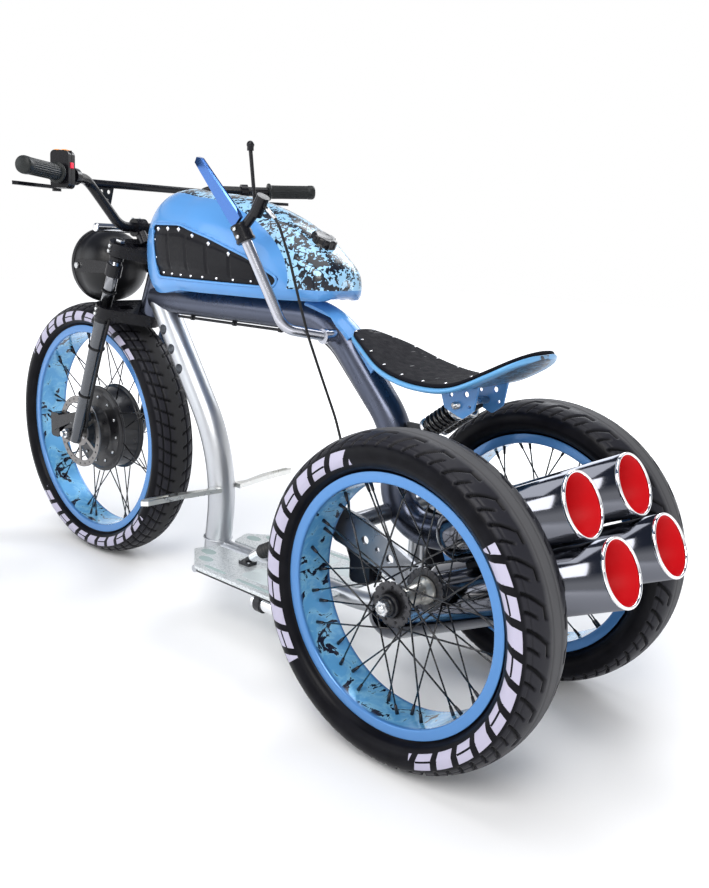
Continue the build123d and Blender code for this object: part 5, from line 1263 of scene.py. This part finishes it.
def boxes(name, places):
    """Small blocks with chamfered tops: centre, three edge directions, half sizes, height and chamfer."""
    corner = np.array([(-1, -1), (1, -1), (1, 1), (-1, 1)], float)
    near = np.arange(4)
    far = (near + 1) % 4
    points, faces = [], []
    for number, (centre, right, up, out, half_r, half_u, height, bevel) in enumerate(places):
        for lift, shrink in ((-height, 0), (height - bevel, 0), (height, bevel)):
            points.append(centre + corner[:, :1] * (half_r - shrink) * right
                          + corner[:, 1:] * (half_u - shrink) * up + lift * out)
        foot = 12 * number
        for level in (foot, foot + 4):
            faces += np.stack([level + near, level + far, level + 4 + far, level + 4 + near], 1).tolist()
        faces += [(foot + 8 + near).tolist(), (foot + near[::-1]).tolist()]
    mesh = bpy.data.meshes.new(name)
    mesh.from_pydata(np.concatenate(points).tolist(), [], faces)
    return facing_out(mesh)


rubber_grip = wear(shader("rubber_grip", (0.012, 0.014, 0.014), 0.0, 0.42, Specular_IOR_Level=0.25),
                   200, 0.34, 0.5)
grips = []
for side in (1, -1):
    mirror = np.array([side, 1, 1])
    start = mirror * (bar_in + 0.16 * bar_length * bar_way)
    grips.append(fluted_grip(f"grip_{side}", start, mirror * bar_way, 0.87 * bar_length))
piece("bar_grips", joined("bar_grips", grips), rubber_grip, "steering", "grips")

coated(cap_black, "switch_pod")
coated(gloss_black, "brake_levers")
across = np.cross(bar_way, (0, 0, 1.0))
across /= np.linalg.norm(across)
overhead = np.cross(across, bar_way)
to_rider = across * math.copysign(1, across[1])
pod = bar_in - 0.08 * bar_length * bar_way
pod_middle = pod + bar_way * 0.012
# Both button colours also glow a little: painted light, as the buttons hold no lamp.
orange = shader("button_orange", (0.95, 0.36, 0.06), 0.0, 0.35, Emission_Color=(0.95, 0.36, 0.06, 1),
                Emission_Strength=0.15)
red = shader("button_red", (0.85, 0.02, 0.06), 0.0, 0.35, Emission_Color=(0.85, 0.02, 0.06, 1),
             Emission_Strength=0.15)
buttons = [(pod + bar_way * reach + overhead * 0.0440 - across * shift, bar_way, across, overhead,
            0.0042, 0.0048, 0.0016, 0.0006) for shift in (-0.008, 0.008) for reach in (0.007, 0.017)]
switch = [(pod_middle + overhead * 0.016 + to_rider * 0.0200, bar_way, overhead, to_rider,
           0.0050, 0.0055, 0.0022, 0.0008)]
pod_seam = [(pod_middle + overhead * 0.008, across, overhead, bar_way, 0.0203, 0.0363, 0.0004, 0.0001)]
piece("pod_buttons", boxes("pod_buttons", buttons), orange, "steering", smooth=False)
piece("pod_switch", boxes("pod_switch", switch), red, "steering", smooth=False)
piece("pod_seam", boxes("pod_seam", pod_seam), hose_black, "steering", smooth=False)
# clamp bolts on the risers
riser_bolts = [(HEAD + np.array([side * 0.032 + dx, -0.0295, 0.1495]), (0, -0.5, 0.87), 0.0040, 0.0045)
               for side in (1, -1) for dx in (-0.009, 0.009)]
piece("riser_bolts", hexagons("riser_bolts", riser_bolts), plated, "steering", smooth=False)

# ------------------------------------------------------------------ lamp and cross bar
# A deep round shell in satin black with a faint seam, a bright bowl, a bulb and a clear domed lens,
# below a short chrome bar with rounded ends.
LAMP_WAY, LAMP_R, GLASS_R = (0, -1, 0), 0.078, 0.0772
lamp = np.array([0.0, round(HEAD[1], 3) - 0.181, 0.732])


def curve_of(start, rise, full, reach, count):
    """A turned curve from the rim in to the middle: start + rise (1 - (r / full) ^ 2) at a radius r."""
    r = np.linspace(reach, 0.0, count)
    return list(zip(start + rise * (1 - (r / full) ** 2), r))


satin_black = wear(shader("satin_black", (0.005, 0.005, 0.006), 0.0, 0.30, Specular_IOR_Level=0.35),
                   30, 0.30, 0.40)
glass = shader("lamp_glass", (0.95, 0.97, 1.0), 0.0, 0.03, Transmission_Weight=1.0, IOR=1.45)
sweep = np.linspace(0, math.pi / 2, 40)
shell = list(zip(-0.084 * np.cos(sweep), 0.084 * np.sin(sweep)))
shell += [(0.0200, 0.0840), (0.0222, 0.0864), (0.0240, 0.0870), (0.0330, 0.0870), (0.0345, 0.0862),
          (0.0345, 0.0785)]
shell += curve_of(0.0340, -0.046, LAMP_R, 0.0778, 24)
bowl = curve_of(0.0344, -0.0455, LAMP_R, 0.0776, 24) + curve_of(0.0344, -0.0450, LAMP_R, 0.0776, 24)[::-1]
dome = curve_of(0.0350, 0.016, GLASS_R, GLASS_R, 20) + curve_of(0.0326, 0.016, GLASS_R, GLASS_R, 20)[::-1]
bulb = [(-0.011, 0.0), (-0.011, 0.0070), (0.004, 0.0070), (0.006, 0.0060), (0.016, 0.0060), (0.020, 0.0040),
        (0.021, 0.0)]
ring = softened([(0.0220, 0.0866), (0.0220, 0.0880), (0.0330, 0.0880), (0.0330, 0.0866)], 0.0006)
piece("lamp_shell", turned("lamp_shell", shell, lamp, LAMP_WAY, 128), satin_black, "steering", "headlight")
piece("lamp_bowl", turned("lamp_bowl", bowl, lamp, LAMP_WAY, 96), bright_chrome, "steering")
piece("lamp_lens", turned("lamp_lens", dome, lamp, LAMP_WAY, 96), glass, "steering", "headlight_lens")
piece("lamp_bulb", turned("lamp_bulb", bulb, lamp, LAMP_WAY, 24), plated, "steering")
piece("lamp_ring", turned("lamp_ring", ring, lamp, LAMP_WAY, 128), gloss_black, "steering")
coated(bright_chrome, "lamp_bar")
lamp_bolts = [(lamp + np.array([side * 0.0922, 0, 0]), (side, 0, 0), 0.0075, 0.0045) for side in (1, -1)]
piece("lamp_bolts", hexagons("lamp_bolts", lamp_bolts), plated, "steering", smooth=False)
